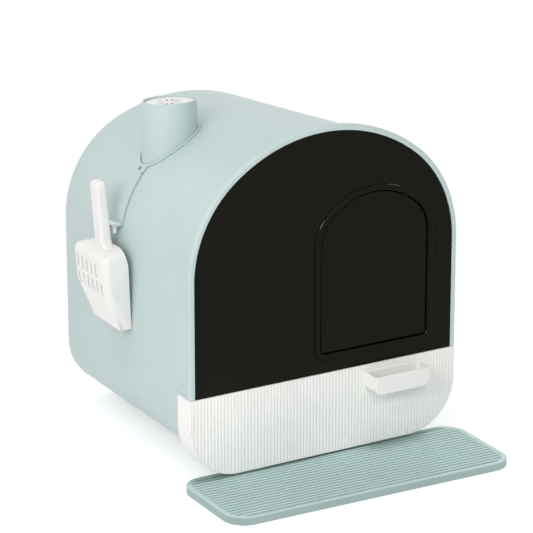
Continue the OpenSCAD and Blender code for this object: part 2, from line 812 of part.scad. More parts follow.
// Profile of the fillet that blends the shelf into the strap
module shelf_corner() {
    difference() {
        translate([-shelf_fillet, -shelf_t / 2]) square([shelf_fillet + wall, shelf_fillet + shelf_t / 2]);
        translate([-shelf_fillet, shelf_fillet]) circle(shelf_fillet);
    }
}

// The basin as a solid in the hook's frame, drawn in by `inset`, open side at x = -rim, down to -lip
module scoop_form(inset, rim, lip) {
    half = scoop_w / 2 - inset;
    lip_half = half - scoop_lip_taper;
    corner = scoop_edge_r - inset;
    plate = scoop_rim_out + scoop_d - inset;
    lip_plate = scoop_rim_out + scoop_lip_d - inset;
    top = -scoop_drop - inset;
    fall = 3;
    hull() {
        for (s = [-1, 1]) {
            translate([-plate + corner, s * (half - corner), top - corner - fall]) sphere(corner, $fn = 32);
            translate([-plate + corner, s * (half - corner), top - scoop_back_l]) sphere(corner, $fn = 32);
            translate([-rim - 1, s * (half - scoop_shoulder_r), top - scoop_shoulder_r]) rotate([0, 90, 0])
                cylinder(r = scoop_shoulder_r, h = 1, $fn = 64);
            translate([-lip_plate, s * lip_half - (s > 0 ? 2 : 0), -lip]) cube([lip_plate - rim, 2, 2]);
        }
    }
}

// One rounded cross-section of the handle, w wide, at height z in the hook's frame
module handle_section(w, z, h) {
    at_handle_corners(w) translate([0, 0, z]) cylinder(r = handle_r, h = h, $fn = 32);
}

// The middles of the four rounded edges of a handle w wide
module at_handle_corners(w) {
    for (x = [handle_out + handle_r, handle_out + handle_t - handle_r]) for (s = [-1, 1])
        translate([-x, s * (w / 2 - handle_r), 0]) children();
}

module scoop() {
    tail_w = strap_w - 2 * slot_rim - 1;
    lip = scoop_drop + scoop_l;
    foot_z = -scoop_drop - 2;
    color(white) at_hanger() translate([-slot_out, 0, shelf_z]) {
        rotate([0, -scoop_lean, 0]) {
            difference() {
                scoop_form(0, scoop_rim_out, lip);
                scoop_form(scoop_wall, scoop_rim_out - 1, lip + 4);
                for (row = [0, 1]) for (i = [0 : 4 + row])
                    translate([-scoop_rim_out - scoop_d - 1, (2.5 - i) * scoop_slot_pitch - scoop_slot_w / 2,
                               -scoop_drop - scoop_slot_drop - scoop_slot_l - row * (scoop_slot_l + scoop_slot_gap)])
                        cube([scoop_wall + 8, scoop_slot_w, scoop_slot_l]);
            }
            hull() {
                at_handle_corners(handle_end_w) translate([0, 0, handle_rise - handle_r])
                    sphere(handle_r, $fn = 32);
                handle_section(handle_w, foot_z, 1);
            }
            hull() {
                handle_section(handle_w, foot_z + 2 * handle_flare, 1);
                handle_section(handle_w + 2 * handle_flare, foot_z, 1);
            }
        }
        translate([0, tail_w / 2, hook_gap]) rotate([90, 0, 0]) linear_extrude(tail_w)
            polygon([[-handle_out - 3, 0], [hook_t / 2, 0], [hook_t / 2, 1], [-handle_out - 3, 7]]);
        translate([-hook_t / 2, -tail_w / 2, -hook_l]) cube([hook_t, tail_w, hook_l + 1]);
    }
}

// Rounded rectangle centred on the origin
module pill(l, w, r) {
    square([l - 2 * r, w], center = true);
    square([l, w - 2 * r], center = true);
    for (x = [-1, 1]) for (y = [-1, 1]) translate([x * (l / 2 - r), y * (w / 2 - r)]) circle(r);
}

module pedal_mat() {
    rib_r = (mat_rib_pitch * mat_rib_pitch / 4 + mat_rib_h * mat_rib_h) / (2 * mat_rib_h);
    field_w = mat_w - 2 * mat_border;
    count = floor(field_w / mat_rib_pitch);
    edge = 1.5;
    color(mat_green) translate([mat_x, mat_y, 0]) rotate([0, 0, mat_turn]) {
        difference() {
            union() {
                linear_extrude(mat_t - edge) pill(mat_l, mat_w, mat_corner_r);
                linear_extrude(mat_t) pill(mat_l - 2 * edge, mat_w - 2 * edge, mat_corner_r - edge);
            }
            translate([0, 0, mat_t - mat_rib_h - 0.3]) linear_extrude(mat_rib_h + 1)
                pill(mat_l - 2 * mat_border, field_w, mat_corner_r - mat_border);
        }
        intersection() {
            translate([0, 0, mat_t - mat_rib_h - 0.3 - eps]) linear_extrude(mat_rib_h + 0.3)
                pill(mat_l - 2 * mat_border, field_w, mat_corner_r - mat_border);
            rotate([90, 0, 90]) translate([0, 0, -mat_l / 2]) linear_extrude(mat_l)
                for (i = [0 : count - 1])
                    translate([(i - (count - 1) / 2) * mat_rib_pitch, mat_t - 0.2 - rib_r]) circle(rib_r);
        }
    }
}

hood_shell();
front_frame();
front_panel();
frame_screws();
feet();
drawer_runners();
vent_chimney();
scoop_hanger();
drawer_tray();
drawer_front();
drawer_pull();
pull_screws();
front_screws();
door_flap();
hinge_pins();
vent_cap();
filter_basket();
carbon_pad();
scoop();
pedal_mat();
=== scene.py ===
import json
import math

import bpy
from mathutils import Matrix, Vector

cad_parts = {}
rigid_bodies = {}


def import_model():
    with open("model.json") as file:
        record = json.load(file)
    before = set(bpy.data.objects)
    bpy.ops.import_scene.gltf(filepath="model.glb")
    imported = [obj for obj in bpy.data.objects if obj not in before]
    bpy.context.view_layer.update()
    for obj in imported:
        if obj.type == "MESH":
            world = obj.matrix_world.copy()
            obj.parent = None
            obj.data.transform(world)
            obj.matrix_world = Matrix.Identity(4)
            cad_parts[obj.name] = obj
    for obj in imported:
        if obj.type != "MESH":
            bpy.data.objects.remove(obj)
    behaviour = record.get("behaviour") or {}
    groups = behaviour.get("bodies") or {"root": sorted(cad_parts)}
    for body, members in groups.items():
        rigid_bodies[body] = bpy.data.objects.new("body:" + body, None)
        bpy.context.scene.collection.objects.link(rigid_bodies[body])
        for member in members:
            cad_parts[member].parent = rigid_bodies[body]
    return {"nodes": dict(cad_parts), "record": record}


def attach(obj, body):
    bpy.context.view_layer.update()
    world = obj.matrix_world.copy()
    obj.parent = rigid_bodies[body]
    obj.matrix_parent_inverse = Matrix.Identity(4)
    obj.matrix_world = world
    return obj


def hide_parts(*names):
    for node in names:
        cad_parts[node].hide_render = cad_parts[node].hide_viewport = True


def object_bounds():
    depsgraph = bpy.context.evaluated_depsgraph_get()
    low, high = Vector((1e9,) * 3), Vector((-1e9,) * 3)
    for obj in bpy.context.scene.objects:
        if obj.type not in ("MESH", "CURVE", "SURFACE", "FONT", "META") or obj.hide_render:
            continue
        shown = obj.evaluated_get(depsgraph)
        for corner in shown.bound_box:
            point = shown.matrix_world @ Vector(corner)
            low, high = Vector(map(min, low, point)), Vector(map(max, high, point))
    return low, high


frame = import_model()

bl_info = {
    "name": "Hooded Litter Box",
    "version": (1, 0, 0),
    "blender": (4, 5, 0),
    "location": "View3D > Sidebar > Litter Box",
    "description": "Models and finishes the pieces of a hooded litter box around its frame",
    "category": "Object",
}

CAD_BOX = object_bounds()


# ---------------------------------------------------------------- colours and materials

def srgb(red, green, blue):
    """Linear RGBA of a colour given as 8-bit screen values."""
    def linear(value):
        share = value / 255
        return share / 12.92 if share <= 0.04045 else ((share + 0.055) / 1.055) ** 2.4
    return (linear(red), linear(green), linear(blue), 1.0)


def new_group(name, inputs, outputs):
    """An empty shader node group with float inputs {name: default} and outputs {name: socket type}."""
    group = bpy.data.node_groups.new(name, "ShaderNodeTree")
    for title, default in inputs.items():
        kind = "NodeSocketFloat" if isinstance(default, (int, float)) else "NodeSocketColor"
        socket = group.interface.new_socket(name=title, in_out="INPUT", socket_type=kind)
        socket.default_value = default
    for title, kind in outputs.items():
        group.interface.new_socket(name=title, in_out="OUTPUT", socket_type=kind)
    return group, group.nodes.new("NodeGroupInput"), group.nodes.new("NodeGroupOutput")


def moulded_grain_group():
    """Fine moulded grain and slow waviness of an injection-moulded wall, as a normal."""
    group, start, end = new_group(
        "Moulded Grain",
        {"Grain Size": 0.0012, "Grain Depth": 0.1, "Wave Size": 0.06, "Wave Depth": 0.1},
        {"Normal": "NodeSocketVector"})
    nodes, links = group.nodes, group.links
    place = nodes.new("ShaderNodeTexCoord")
    normal = None
    for size, depth, distance in (("Grain Size", "Grain Depth", 0.0002), ("Wave Size", "Wave Depth", 0.002)):
        inverse = nodes.new("ShaderNodeMath")
        inverse.operation = "DIVIDE"
        inverse.inputs[0].default_value = 1.0
        noise = nodes.new("ShaderNodeTexNoise")
        noise.inputs["Detail"].default_value = 2.0
        bump = nodes.new("ShaderNodeBump")
        bump.inputs["Distance"].default_value = distance
        links.new(start.outputs[size], inverse.inputs[1])
        links.new(place.outputs["Object"], noise.inputs["Vector"])
        links.new(inverse.outputs[0], noise.inputs["Scale"])
        links.new(noise.outputs["Fac"], bump.inputs["Height"])
        links.new(start.outputs[depth], bump.inputs["Strength"])
        if normal is not None:
            links.new(normal, bump.inputs["Normal"])
        normal = bump.outputs["Normal"]
    links.new(normal, end.inputs["Normal"])
    return group


def tone_drift_group():
    """Slow change of tone over a moulding, with faint dust on what faces up."""
    group, start, end = new_group(
        "Tone Drift",
        {"Colour": (0.8, 0.8, 0.8, 1.0), "Drift": 0.03, "Dust": 0.02},
        {"Colour": "NodeSocketColor"})
    nodes, links = group.nodes, group.links
    place = nodes.new("ShaderNodeTexCoord")
    noise = nodes.new("ShaderNodeTexNoise")
    noise.inputs["Scale"].default_value = 9.0
    noise.inputs["Detail"].default_value = 4.0
    spread = nodes.new("ShaderNodeMapRange")
    spread.inputs["From Min"].default_value = 0.3
    spread.inputs["From Max"].default_value = 0.7
    spread.inputs["To Min"].default_value = -1.0
    level = nodes.new("ShaderNodeMath")
    level.operation = "MULTIPLY_ADD"
    level.inputs[2].default_value = 1.0
    shade = nodes.new("ShaderNodeHueSaturation")
    geometry = nodes.new("ShaderNodeNewGeometry")
    split = nodes.new("ShaderNodeSeparateXYZ")
    specks = nodes.new("ShaderNodeTexNoise")
    specks.inputs["Scale"].default_value = 60.0
    specks.inputs["Detail"].default_value = 6.0
    upward = nodes.new("ShaderNodeMath")
    upward.operation = "MULTIPLY"
    upward.use_clamp = True
    amount = nodes.new("ShaderNodeMath")
    amount.operation = "MULTIPLY"
    amount.use_clamp = True
    dusty = nodes.new("ShaderNodeMix")
    dusty.data_type = "RGBA"
    dusty.inputs["B"].default_value = srgb(232, 229, 222)
    links.new(place.outputs["Object"], noise.inputs["Vector"])
    links.new(place.outputs["Object"], specks.inputs["Vector"])
    links.new(noise.outputs["Fac"], spread.inputs["Value"])
    links.new(spread.outputs["Result"], level.inputs[0])
    links.new(start.outputs["Drift"], level.inputs[1])
    links.new(level.outputs[0], shade.inputs["Value"])
    links.new(start.outputs["Colour"], shade.inputs["Color"])
    links.new(geometry.outputs["Normal"], split.inputs[0])
    links.new(split.outputs["Z"], upward.inputs[0])
    links.new(specks.outputs["Fac"], upward.inputs[1])
    links.new(upward.outputs[0], amount.inputs[0])
    links.new(start.outputs["Dust"], amount.inputs[1])
    links.new(amount.outputs[0], dusty.inputs["Factor"])
    links.new(shade.outputs["Color"], dusty.inputs["A"])
    links.new(dusty.outputs["Result"], end.inputs["Colour"])
    return group


GROUPS = {}


def group_node(tree, name):
    """A node in `tree` that holds the shared group of that name."""
    builders = {"Moulded Grain": moulded_grain_group, "Tone Drift": tone_drift_group}
    if name not in GROUPS:
        GROUPS[name] = builders[name]()
    node = tree.nodes.new("ShaderNodeGroup")
    node.node_tree = GROUPS[name]
    node.label = name
    return node


def plastic(name, colour, roughness, grain=0.1, grain_size=0.0012, wave=0.1, drift=0.03, dust=0.02,
            specular=0.5):
    """A moulded plastic with its own grain, waviness and tone."""
    material = bpy.data.materials.new(name)
    material.use_nodes = True
    tree = material.node_tree
    shader = tree.nodes["Principled BSDF"]
    shader.inputs["Roughness"].default_value = roughness
    shader.inputs["Specular IOR Level"].default_value = specular
    tone = group_node(tree, "Tone Drift")
    tone.inputs["Colour"].default_value = colour
    tone.inputs["Drift"].default_value = drift
    tone.inputs["Dust"].default_value = dust
    surface = group_node(tree, "Moulded Grain")
    surface.inputs["Grain Size"].default_value = grain_size
    surface.inputs["Grain Depth"].default_value = grain
    surface.inputs["Wave Depth"].default_value = wave
    tree.links.new(tone.outputs["Colour"], shader.inputs["Base Color"])
    tree.links.new(surface.outputs["Normal"], shader.inputs["Normal"])
    return material


def mint_plastic():
    return plastic("Mint Plastic", srgb(197, 214, 213), 0.5)


def gloss_black():
    return plastic("Gloss Black", srgb(10, 10, 5), 0.1, grain=0.0, wave=0.03, drift=0.1, dust=0.0,
                   specular=0.09)


def white_plastic():
    return plastic("White Plastic", srgb(246, 245, 242), 0.4)


def mat_plastic():
    return plastic("Mat Plastic", srgb(187, 211, 208), 0.55)


def screw_steel():
    material = plastic("Screw Steel", srgb(188, 190, 192), 0.3, dust=0.0)
    material.node_tree.nodes["Principled BSDF"].inputs["Metallic"].default_value = 1.0
    return material


def foot_rubber():
    return plastic("Foot Rubber", srgb(66, 68, 68), 0.8)


def carbon_felt():
    return plastic("Carbon Felt", srgb(44, 44, 46), 0.95, grain=0.9, grain_size=0.0016)


FINISHES = {
    "mint_plastic": mint_plastic,
    "black_gloss": gloss_black,
    "white_plastic": white_plastic,
    "mat_plastic": mat_plastic,
    "screw_steel": screw_steel,
    "foot_rubber": foot_rubber,
    "carbon_felt": carbon_felt,
}
MADE = {}


def finish_of(slot):
    """The material of one of the record's slots, made once."""
    if slot not in MADE:
        MADE[slot] = FINISHES[slot]()
    return MADE[slot]


# ---------------------------------------------------------------- modelling helpers

MM = 0.001
X_TO_Z = (0, 1, 0)         # mesh.spin's axis for a turn of +X towards +Z
X_TO_Y = (0, 0, -1)        # the same for a turn of +X towards +Y
Y_TO_Z = (-1, 0, 0)        # the same for a turn of +Y towards +Z
NEAR = 0.01 * MM           # what lies closer to a plane than this counts as in it
WELD = 0.02 * MM           # ends of outlines closer together than this are merged
FINE_WELD = 0.005 * MM     # the same for the vertices of a finished mesh
OVERLAP = 1 * MM           # how far a piece reaches into the one that it is joined to
BEYOND = 9 * MM            # how far a cutting tool reaches past what it cuts
GAP = 0.2 * MM             # room left between the hood and what stands on it or in it
CABIN_Z = 0.3              # a height inside the hood
SKY_Z = 0.6                # a height above the hood


def length(name, description, millimetres):
    """A length property whose default is given in millimetres."""
    return bpy.props.FloatProperty(
        name=name, description=description, default=millimetres * MM, unit="LENGTH", precision=4)


def rotation(name, description, degrees):
    """An angle property whose default is given in degrees."""
    return bpy.props.FloatProperty(
        name=name, description=description, default=math.radians(degrees), unit="ROTATION")


def number(name, description, default):
    """A whole-number property."""
    return bpy.props.IntProperty(name=name, description=description, default=default)


def pen_at(name, place):
    """A new mesh in edit mode whose only vertex, selected, lies at `place`."""
    bpy.ops.mesh.primitive_plane_add(size=0.01)
    piece = bpy.context.object
    piece.name = name
    bpy.ops.object.mode_set(mode="EDIT")
    bpy.ops.mesh.select_mode(type="VERT")
    bpy.ops.mesh.select_all(action="SELECT")
    bpy.ops.mesh.merge(type="CENTER")
    bpy.ops.transform.translate(value=place)
    return piece


def draw(x=0.0, y=0.0, z=0.0):
    """Extrudes what is selected along a straight line."""
    bpy.ops.mesh.extrude_region_move(TRANSFORM_OT_translate={"value": (x, y, z)})


def sweep(centre, axis, degrees, steps):
    """Extrudes what is selected round a centre."""
    bpy.ops.mesh.spin(steps=steps, angle=math.radians(degrees), center=centre, axis=axis)


def polyline(name, points):
    """A chain of straight edges through `points`, in edit mode."""
    piece = pen_at(name, points[0])
    for start, end in zip(points, points[1:]):
        draw(*(b - a for a, b in zip(start, end)))
    return piece


def select_where(piece, test, kind="VERT"):
    """Selects the vertices, edges or faces whose middle passes `test`, in edit mode."""
    bpy.ops.mesh.select_mode(type=kind)
    bpy.ops.mesh.select_all(action="DESELECT")
    bpy.ops.object.mode_set(mode="OBJECT")
    mesh = piece.data
    if kind == "VERT":
        for vertex in mesh.vertices:
            vertex.select = test(vertex.co)
    elif kind == "EDGE":
        for edge in mesh.edges:
            ends = [mesh.vertices[i].co for i in edge.vertices]
            edge.select = test((ends[0] + ends[1]) / 2) and all(test(end) for end in ends)
    else:
        for face in mesh.polygons:
            face.select = test(face.center)
    bpy.ops.object.mode_set(mode="EDIT")


def weld_all():
    """Merges the vertices that lie on each other and leaves everything selected."""
    bpy.ops.mesh.select_all(action="SELECT")
    bpy.ops.mesh.remove_doubles(threshold=WELD)
    bpy.ops.mesh.select_all(action="SELECT")


def fill_all():
    """Makes one face of everything drawn so far and leaves it selected."""
    bpy.ops.mesh.select_all(action="SELECT")
    bpy.ops.mesh.edge_face_add()


def to_object():
    """Leaves edit mode."""
    bpy.ops.object.mode_set(mode="OBJECT")


def to_edit(piece):
    """Opens a piece in edit mode."""
    bpy.context.view_layer.objects.active = piece
    bpy.ops.object.mode_set(mode="EDIT")


def modify(piece, kind, **settings):
    """Adds a modifier with these settings and applies it."""
    bpy.context.view_layer.objects.active = piece
    modifier = piece.modifiers.new(kind.title(), kind)
    for key, value in settings.items():
        setattr(modifier, key, value)
    bpy.ops.object.modifier_apply(modifier=modifier.name)


def mirrored(piece):
    """Completes a right half over the plane x = 0."""
    to_object()
    modify(piece, "MIRROR", use_clip=True, merge_threshold=WELD)


def repeated(piece, count, offset):
    """Repeats an open outline `count` times, `offset` apart, with its ends merged."""
    modify(piece, "ARRAY", count=count, use_relative_offset=False, use_constant_offset=True,
           constant_offset_displace=offset, use_merge_vertices=True, merge_threshold=WELD)


def outward(piece):
    """Merges doubled vertices and turns all faces outwards."""
    to_edit(piece)
    bpy.ops.mesh.select_all(action="SELECT")
    bpy.ops.mesh.remove_doubles(threshold=FINE_WELD)
    bpy.ops.mesh.normals_make_consistent(inside=False)
    to_object()


def moved(piece, x):
    """Moves a piece's mesh sideways, with its origin left in place."""
    to_edit(piece)
    bpy.ops.mesh.select_all(action="SELECT")
    bpy.ops.transform.translate(value=(x, 0, 0))
    to_object()


def filled(piece, depth):
    """Closes an outline and extrudes it along Y."""
    to_edit(piece)
    fill_all()
    draw(y=depth)
    to_object()
    outward(piece)
    return piece


def opened(piece, test):
    """Takes away the faces whose middle passes `test`."""
    to_edit(piece)
    select_where(piece, test, "FACE")
    bpy.ops.mesh.delete(type="ONLY_FACE")
    to_object()


def thicken_inwards(piece, thickness, middle):
    """Gives an open shell a wall towards `middle`, whichever way its faces look."""
    mesh = piece.data
    face = max(mesh.polygons, key=lambda polygon: polygon.area)
    inwards = (Vector(middle) - face.center).dot(face.normal) > 0
    modify(piece, "SOLIDIFY", thickness=thickness, offset=1 if inwards else -1,
           use_even_offset=True, use_rim=True)
    outward(piece)


def combine(piece, tool, operation="DIFFERENCE"):
    """Cuts, intersects or unites a piece with a tool, which is used up."""
    modify(piece, "BOOLEAN", operation=operation, object=tool, solver="EXACT")
    bpy.data.objects.remove(tool)


def joined(first, *others):
    """Joins meshes into one object, as they are."""
    bpy.ops.object.select_all(action="DESELECT")
    for piece in (first, *others):
        piece.select_set(True)
    bpy.context.view_layer.objects.active = first
    bpy.ops.object.join()
    bpy.ops.object.select_all(action="DESELECT")
    return first


def settled(name):
    """The primitive just added, with its place and turn applied."""
    piece = bpy.context.object
    piece.name = name
    bpy.ops.object.transform_apply(location=True, rotation=True, scale=True)
    return piece


def applied(piece, location=True):
    """Puts a piece's turn, and its place where asked, into its mesh."""
    bpy.ops.object.select_all(action="DESELECT")
    piece.select_set(True)
    bpy.context.view_layer.objects.active = piece
    bpy.ops.object.transform_apply(location=location, rotation=True, scale=True)
    piece.select_set(False)


def box(name, low, high):
    """A closed box between two corners."""
    middle = [(a + b) / 2 for a, b in zip(low, high)]
    bpy.ops.mesh.primitive_cube_add(size=1, location=middle, scale=[b - a for a, b in zip(low, high)])
    return settled(name)


def rod(name, radius, start, end, vertices=48):
    """A closed cylinder from one point to another."""
    start, end = Vector(start), Vector(end)
    turn = (end - start).to_track_quat("Z", "Y").to_euler()
    bpy.ops.mesh.primitive_cylinder_add(
        vertices=vertices, radius=radius, depth=(end - start).length,
        location=(start + end) / 2, rotation=turn)
    return settled(name)


def ball(radius, place):
    """A sphere about `place`."""
    bpy.ops.mesh.primitive_uv_sphere_add(segments=40, ring_count=20, radius=radius, location=place)
    return settled("ball")


def hulled(name, *pieces):
    """The convex hull of some pieces."""
    piece = joined(*pieces)
    piece.name = name
    to_edit(piece)
    bpy.ops.mesh.select_all(action="SELECT")
    bpy.ops.mesh.convex_hull()
    to_object()
    return piece


def softened(piece, width, segments=3, angle=35):
    """Rounds every edge sharper than `angle` and shades the rest smooth."""
    outward(piece)
    modify(piece, "BEVEL", width=width, segments=segments, limit_method="ANGLE",
           angle_limit=math.radians(angle), use_clamp_overlap=True, harden_normals=False)
    smoothed(piece)


def smoothed(piece, angle=35):
    """Shades smooth below `angle`, with flat faces kept flat."""
    bpy.ops.object.select_all(action="DESELECT")
    piece.select_set(True)
    bpy.context.view_layer.objects.active = piece
    bpy.ops.object.shade_smooth_by_angle(angle=math.radians(angle))
    modify(piece, "WEIGHTED_NORMAL", keep_sharp=True, weight=50)
    piece.select_set(False)


BODY_OF = {node: body for body, nodes in frame["record"]["behaviour"]["bodies"].items() for node in nodes}
SLOT_OF = {part["node"]: part["material_slot"] for part in frame["record"]["subparts"]}


def stands_for(piece, node):
    """Gives a modelled piece the finish and body of the frame node that it replaces."""
    piece.name = node + "_model"
    piece.data.materials.clear()
    piece.data.materials.append(finish_of(SLOT_OF[node]))
    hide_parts(node)
    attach(piece, BODY_OF[node])


class Arch:
    """A three-centred arch on straight sides, drawn about x = 0 in planes of constant y."""

    def __init__(self, half_width, rise, lift, spring):
        self.half_width, self.rise, self.lift, self.spring = half_width, rise, lift, spring
        self.shoulder_r = rise - lift
        self.shoulder_x = half_width - self.shoulder_r
        self.crown_drop = (self.shoulder_x ** 2 - lift ** 2) / (2 * lift)
        self.meet = math.degrees(math.atan2(self.crown_drop, self.shoulder_x))

    def grown(self, by):
        """The same arch, moved outwards all round."""
        return Arch(self.half_width + by, self.rise + by, self.lift, self.spring)

    def sweep_half(self, shoulder_steps=24, crown_steps=14):
        """Carries what is selected from the springing line on the right up to the crown."""
        sweep((self.shoulder_x, 0, self.spring), X_TO_Z, self.meet, shoulder_steps)
        sweep((0, 0, self.spring - self.crown_drop), X_TO_Z, 90 - self.meet, crown_steps)


def tub_half(half_width, low, corner, top, steps):
    """Carries what is selected from the bottom's middle round the right corner up to `top`."""
    draw(x=half_width - corner)
    sweep((half_width - corner, 0, low + corner), X_TO_Z, 90, steps)
    draw(z=top - low - corner)


def tub_outline(name, y, half_width, low, corner, top, steps):
    """A tub-shaped outline, open at its top, in object mode."""
    loop = pen_at(name, (0, y, low))
    tub_half(half_width, low, corner, top, steps)
    mirrored(loop)
    return loop


def outline_half(arch, low, corner, steps):
    """Draws the right half of an arched outline with rounded lower corners, from its bottom's middle."""
    tub_half(arch.half_width, low, corner, arch.spring, steps)
    arch.sweep_half()


# ---------------------------------------------------------------- housing

POST_TURNS = (6, 46)     # where the upper screws stand on the shoulder's circle, in degrees


class BodySettings(bpy.types.PropertyGroup):
    """Sizes that several pieces share."""
    half_width: length("Half Width", "Half the width over the front frame", 215)
    rise: length("Arch Rise", "Rise of the front arch above its springing line", 189.5)
    lift: length("Arch Lift", "How far the crown stands above the shoulders' circles", 13.5)
    spring: length("Spring Height", "Height at which the front arch springs", 296)
    face_y: length("Face", "Place of the frame's face", -202.5)
    lip_y: length("Lip", "Place of the panel's rear face", -198.3)
    hood_y: length("Hood Mouth", "Place of the hood's front edge", -194.5)
    rear_y: length("Rear", "Place of the hood's rear wall", 202.5)
    sill_z: length("Sill", "Height of the line over the drawer", 133.3)
    post_reach: length("Post Reach", "Distance of the screws from the frame's outline", 14.1)
    post_rise: length("Post Rise", "Height of the lowest screws over the sill", 40)
    post_radius: length("Post Radius", "Radius of the screw posts and bosses", 5)
    screw_hole: length("Screw Hole", "Radius of the holes in the posts and bosses", 1.6)

    def front_arch(self, inset=0.0):
        """The front frame's outline, drawn in by `inset`."""
        return Arch(self.half_width, self.rise, self.lift, self.spring).grown(-inset)

    def post_places(self):
        """X and Z of the frame's six screws."""
        arch = self.front_arch(self.post_reach)
        right = [(arch.half_width, self.sill_z + self.post_rise)]
        for degrees in POST_TURNS:
            turn = math.radians(degrees)
            right.append((arch.shoulder_x + arch.shoulder_r * math.cos(turn),
                          arch.spring + arch.shoulder_r * math.sin(turn)))
        return right + [(-x, z) for x, z in right]


class HoodSettings(bpy.types.PropertyGroup):
    """The drafted hood."""
    step: length("Step", "How far the frame stands proud of the hood", 7.6)
    wall: length("Wall", "Thickness of the hood's wall", 3)
    low: length("Lower Edge", "Height of the hood's underside", 20)
    rear_half_width: length("Rear Half Width", "Half the hood's width at its rear", 190)
    rear_rise: length("Rear Rise", "Rise of the rear arch", 157.4)
    rear_lift: length("Rear Lift", "How far the rear crown stands above its shoulders' circles", 9.4)
    rear_spring: length("Rear Spring", "Height at which the rear arch springs", 284.4)
    front_corner: length("Front Corner", "Bottom corner radius at the front", 85)
    rear_corner: length("Rear Corner", "Bottom corner radius at the rear", 75)
    rear_edge: length("Rear Edge", "Radius of the rear edge", 6)
    clip_x: length("Clip Place X", "Sideways place of the clip's hole at the strap's upper end", -157.8)
    clip_y: length("Clip Place Y", "Place of the clip's hole along the hood", 28.0)
    clip_z: length("Clip Height", "Height of the clip's hole", 390.8)
    clip_radius: length("Clip Radius", "Radius of the clip's hole", 3.3)
    peg_radius: length("Peg Radius", "Radius of the peg's hole beside the clip", 1.6)
    post_length: length("Post Length", "Length of the screw posts inside the hood", 22)
    post_inset: length("Post Inset", "How far under the hood's outside the posts end", 1)

    def rear_arch(self):
        """The outline of the hood's rear wall."""
        return Arch(self.rear_half_width, self.rear_rise, self.rear_lift, self.rear_spring)


class FrameSettings(bpy.types.PropertyGroup):
    """The front frame."""
    edge_radius: length("Edge Radius", "Radius of the frame's front edge", 3)
    inner_edge: length("Inner Edge", "Radius of the edge round the panel", 0.6)
    panel_room: length("Panel Room", "Inset of the recess that takes the panel", 7.7)
    lip_inset: length("Lip Inset", "Inset of the lip behind the panel", 13.9)
    tongue_inset: length("Tongue Inset", "Inset of the tongue that enters the hood", 11.63)
    tongue_length: length("Tongue Length", "Length of that tongue", 8)
    sill_height: length("Sill Height", "Height of the cross bar", 12)
    sill_y: length("Sill Rear", "Place of the cross bar's rear face", -190)
    ledge_length: length("Ledge Length", "Length of the ledges over the drawer's returns", 35)
    ledge_thickness: length("Ledge Thickness", "Thickness of those ledges", 3)
    ledge_root: length("Ledge Root", "How far the ledges reach into the hood's wall", 2.8)
    ledge_lip: length("Ledge Lip", "Width of the flat beside the hollow over a ledge", 0.8)


def hood_form(body, hood, grow=0.0, closed=False):
    """The hood's outside as an open shell, grown by `grow`, or as a closed solid."""
    rings = []
    for y, arch, corner in ((body.hood_y, body.front_arch(hood.step), hood.front_corner),
                            (body.rear_y, hood.rear_arch(), hood.rear_corner)):
        low = hood.low - grow
        rings.append(pen_at("hood", (0, y, low)))
        outline_half(arch.grown(grow), low, corner + grow, steps=20)
        mirrored(rings[-1])
    form = joined(*rings)
    to_edit(form)
    bpy.ops.mesh.select_all(action="SELECT")
    bpy.ops.mesh.bridge_edge_loops(number_cuts=8, interpolation="LINEAR")
    select_where(form, lambda co: co.y > body.rear_y - NEAR, "EDGE")
    bpy.ops.mesh.edge_face_add()
    select_where(form, lambda co: co.y > body.rear_y - NEAR, "EDGE")
    bpy.ops.mesh.bevel(offset=hood.rear_edge + grow, segments=6, profile=0.5)
    if closed:
        select_where(form, lambda co: co.y < body.hood_y + NEAR, "EDGE")
        bpy.ops.mesh.edge_face_add()
    to_object()
    outward(form)
    return form


MIDDLE_Z = 0.25     # height of the point inside the hood that a sheet on it turns away from


def on_hood(piece, body, hood, axis, thickness, lift=GAP):
    """Drops a sheet onto the hood along `axis` and gives it its thickness outwards."""
    form = hood_form(body, hood)
    modify(piece, "SHRINKWRAP", target=form, wrap_method="PROJECT", wrap_mode="ABOVE_SURFACE", offset=lift,
           use_project_x=axis == "X", use_project_y=False, use_project_z=axis == "Z",
           use_positive_direction=axis == "X", use_negative_direction=axis == "Z")
    bpy.data.objects.remove(form)
    face = piece.data.polygons[0]
    outside = face.normal.dot(face.center - Vector((0, 0, MIDDLE_Z))) > 0
    modify(piece, "SOLIDIFY", thickness=thickness, offset=1 if outside else -1,
           use_even_offset=True, use_rim=True)
    outward(piece)


def tube(name, place, front, back, outer, inner):
    """A tube along Y round `place` in X and Z, closed at its ends."""
    x, z = place
    piece = pen_at(name, (x + inner, front, z))
    draw(x=outer - inner)
    draw(y=back - front)
    draw(x=inner - outer)
    draw(y=front - back)
    weld_all()
    sweep((x, 0, z), X_TO_Z, 360, 32)
    to_object()
    outward(piece)
    return piece


PEG_OFFSET = Vector((-4.3, -12, -3.7)) * MM     # from the clip's hole to the peg's
DRILL_REACH = Vector((8, 0, -7)) * MM           # along a line square to the hood there


def clip_holes(hood):
    """Drills for the holes of the chimney's clip and peg, square to the hood."""
    clip = Vector((hood.clip_x, hood.clip_y, hood.clip_z))
    return [rod("drill", radius, middle + DRILL_REACH, middle - DRILL_REACH, 24)
            for radius, middle in ((hood.clip_radius, clip), (hood.peg_radius, clip + PEG_OFFSET))]


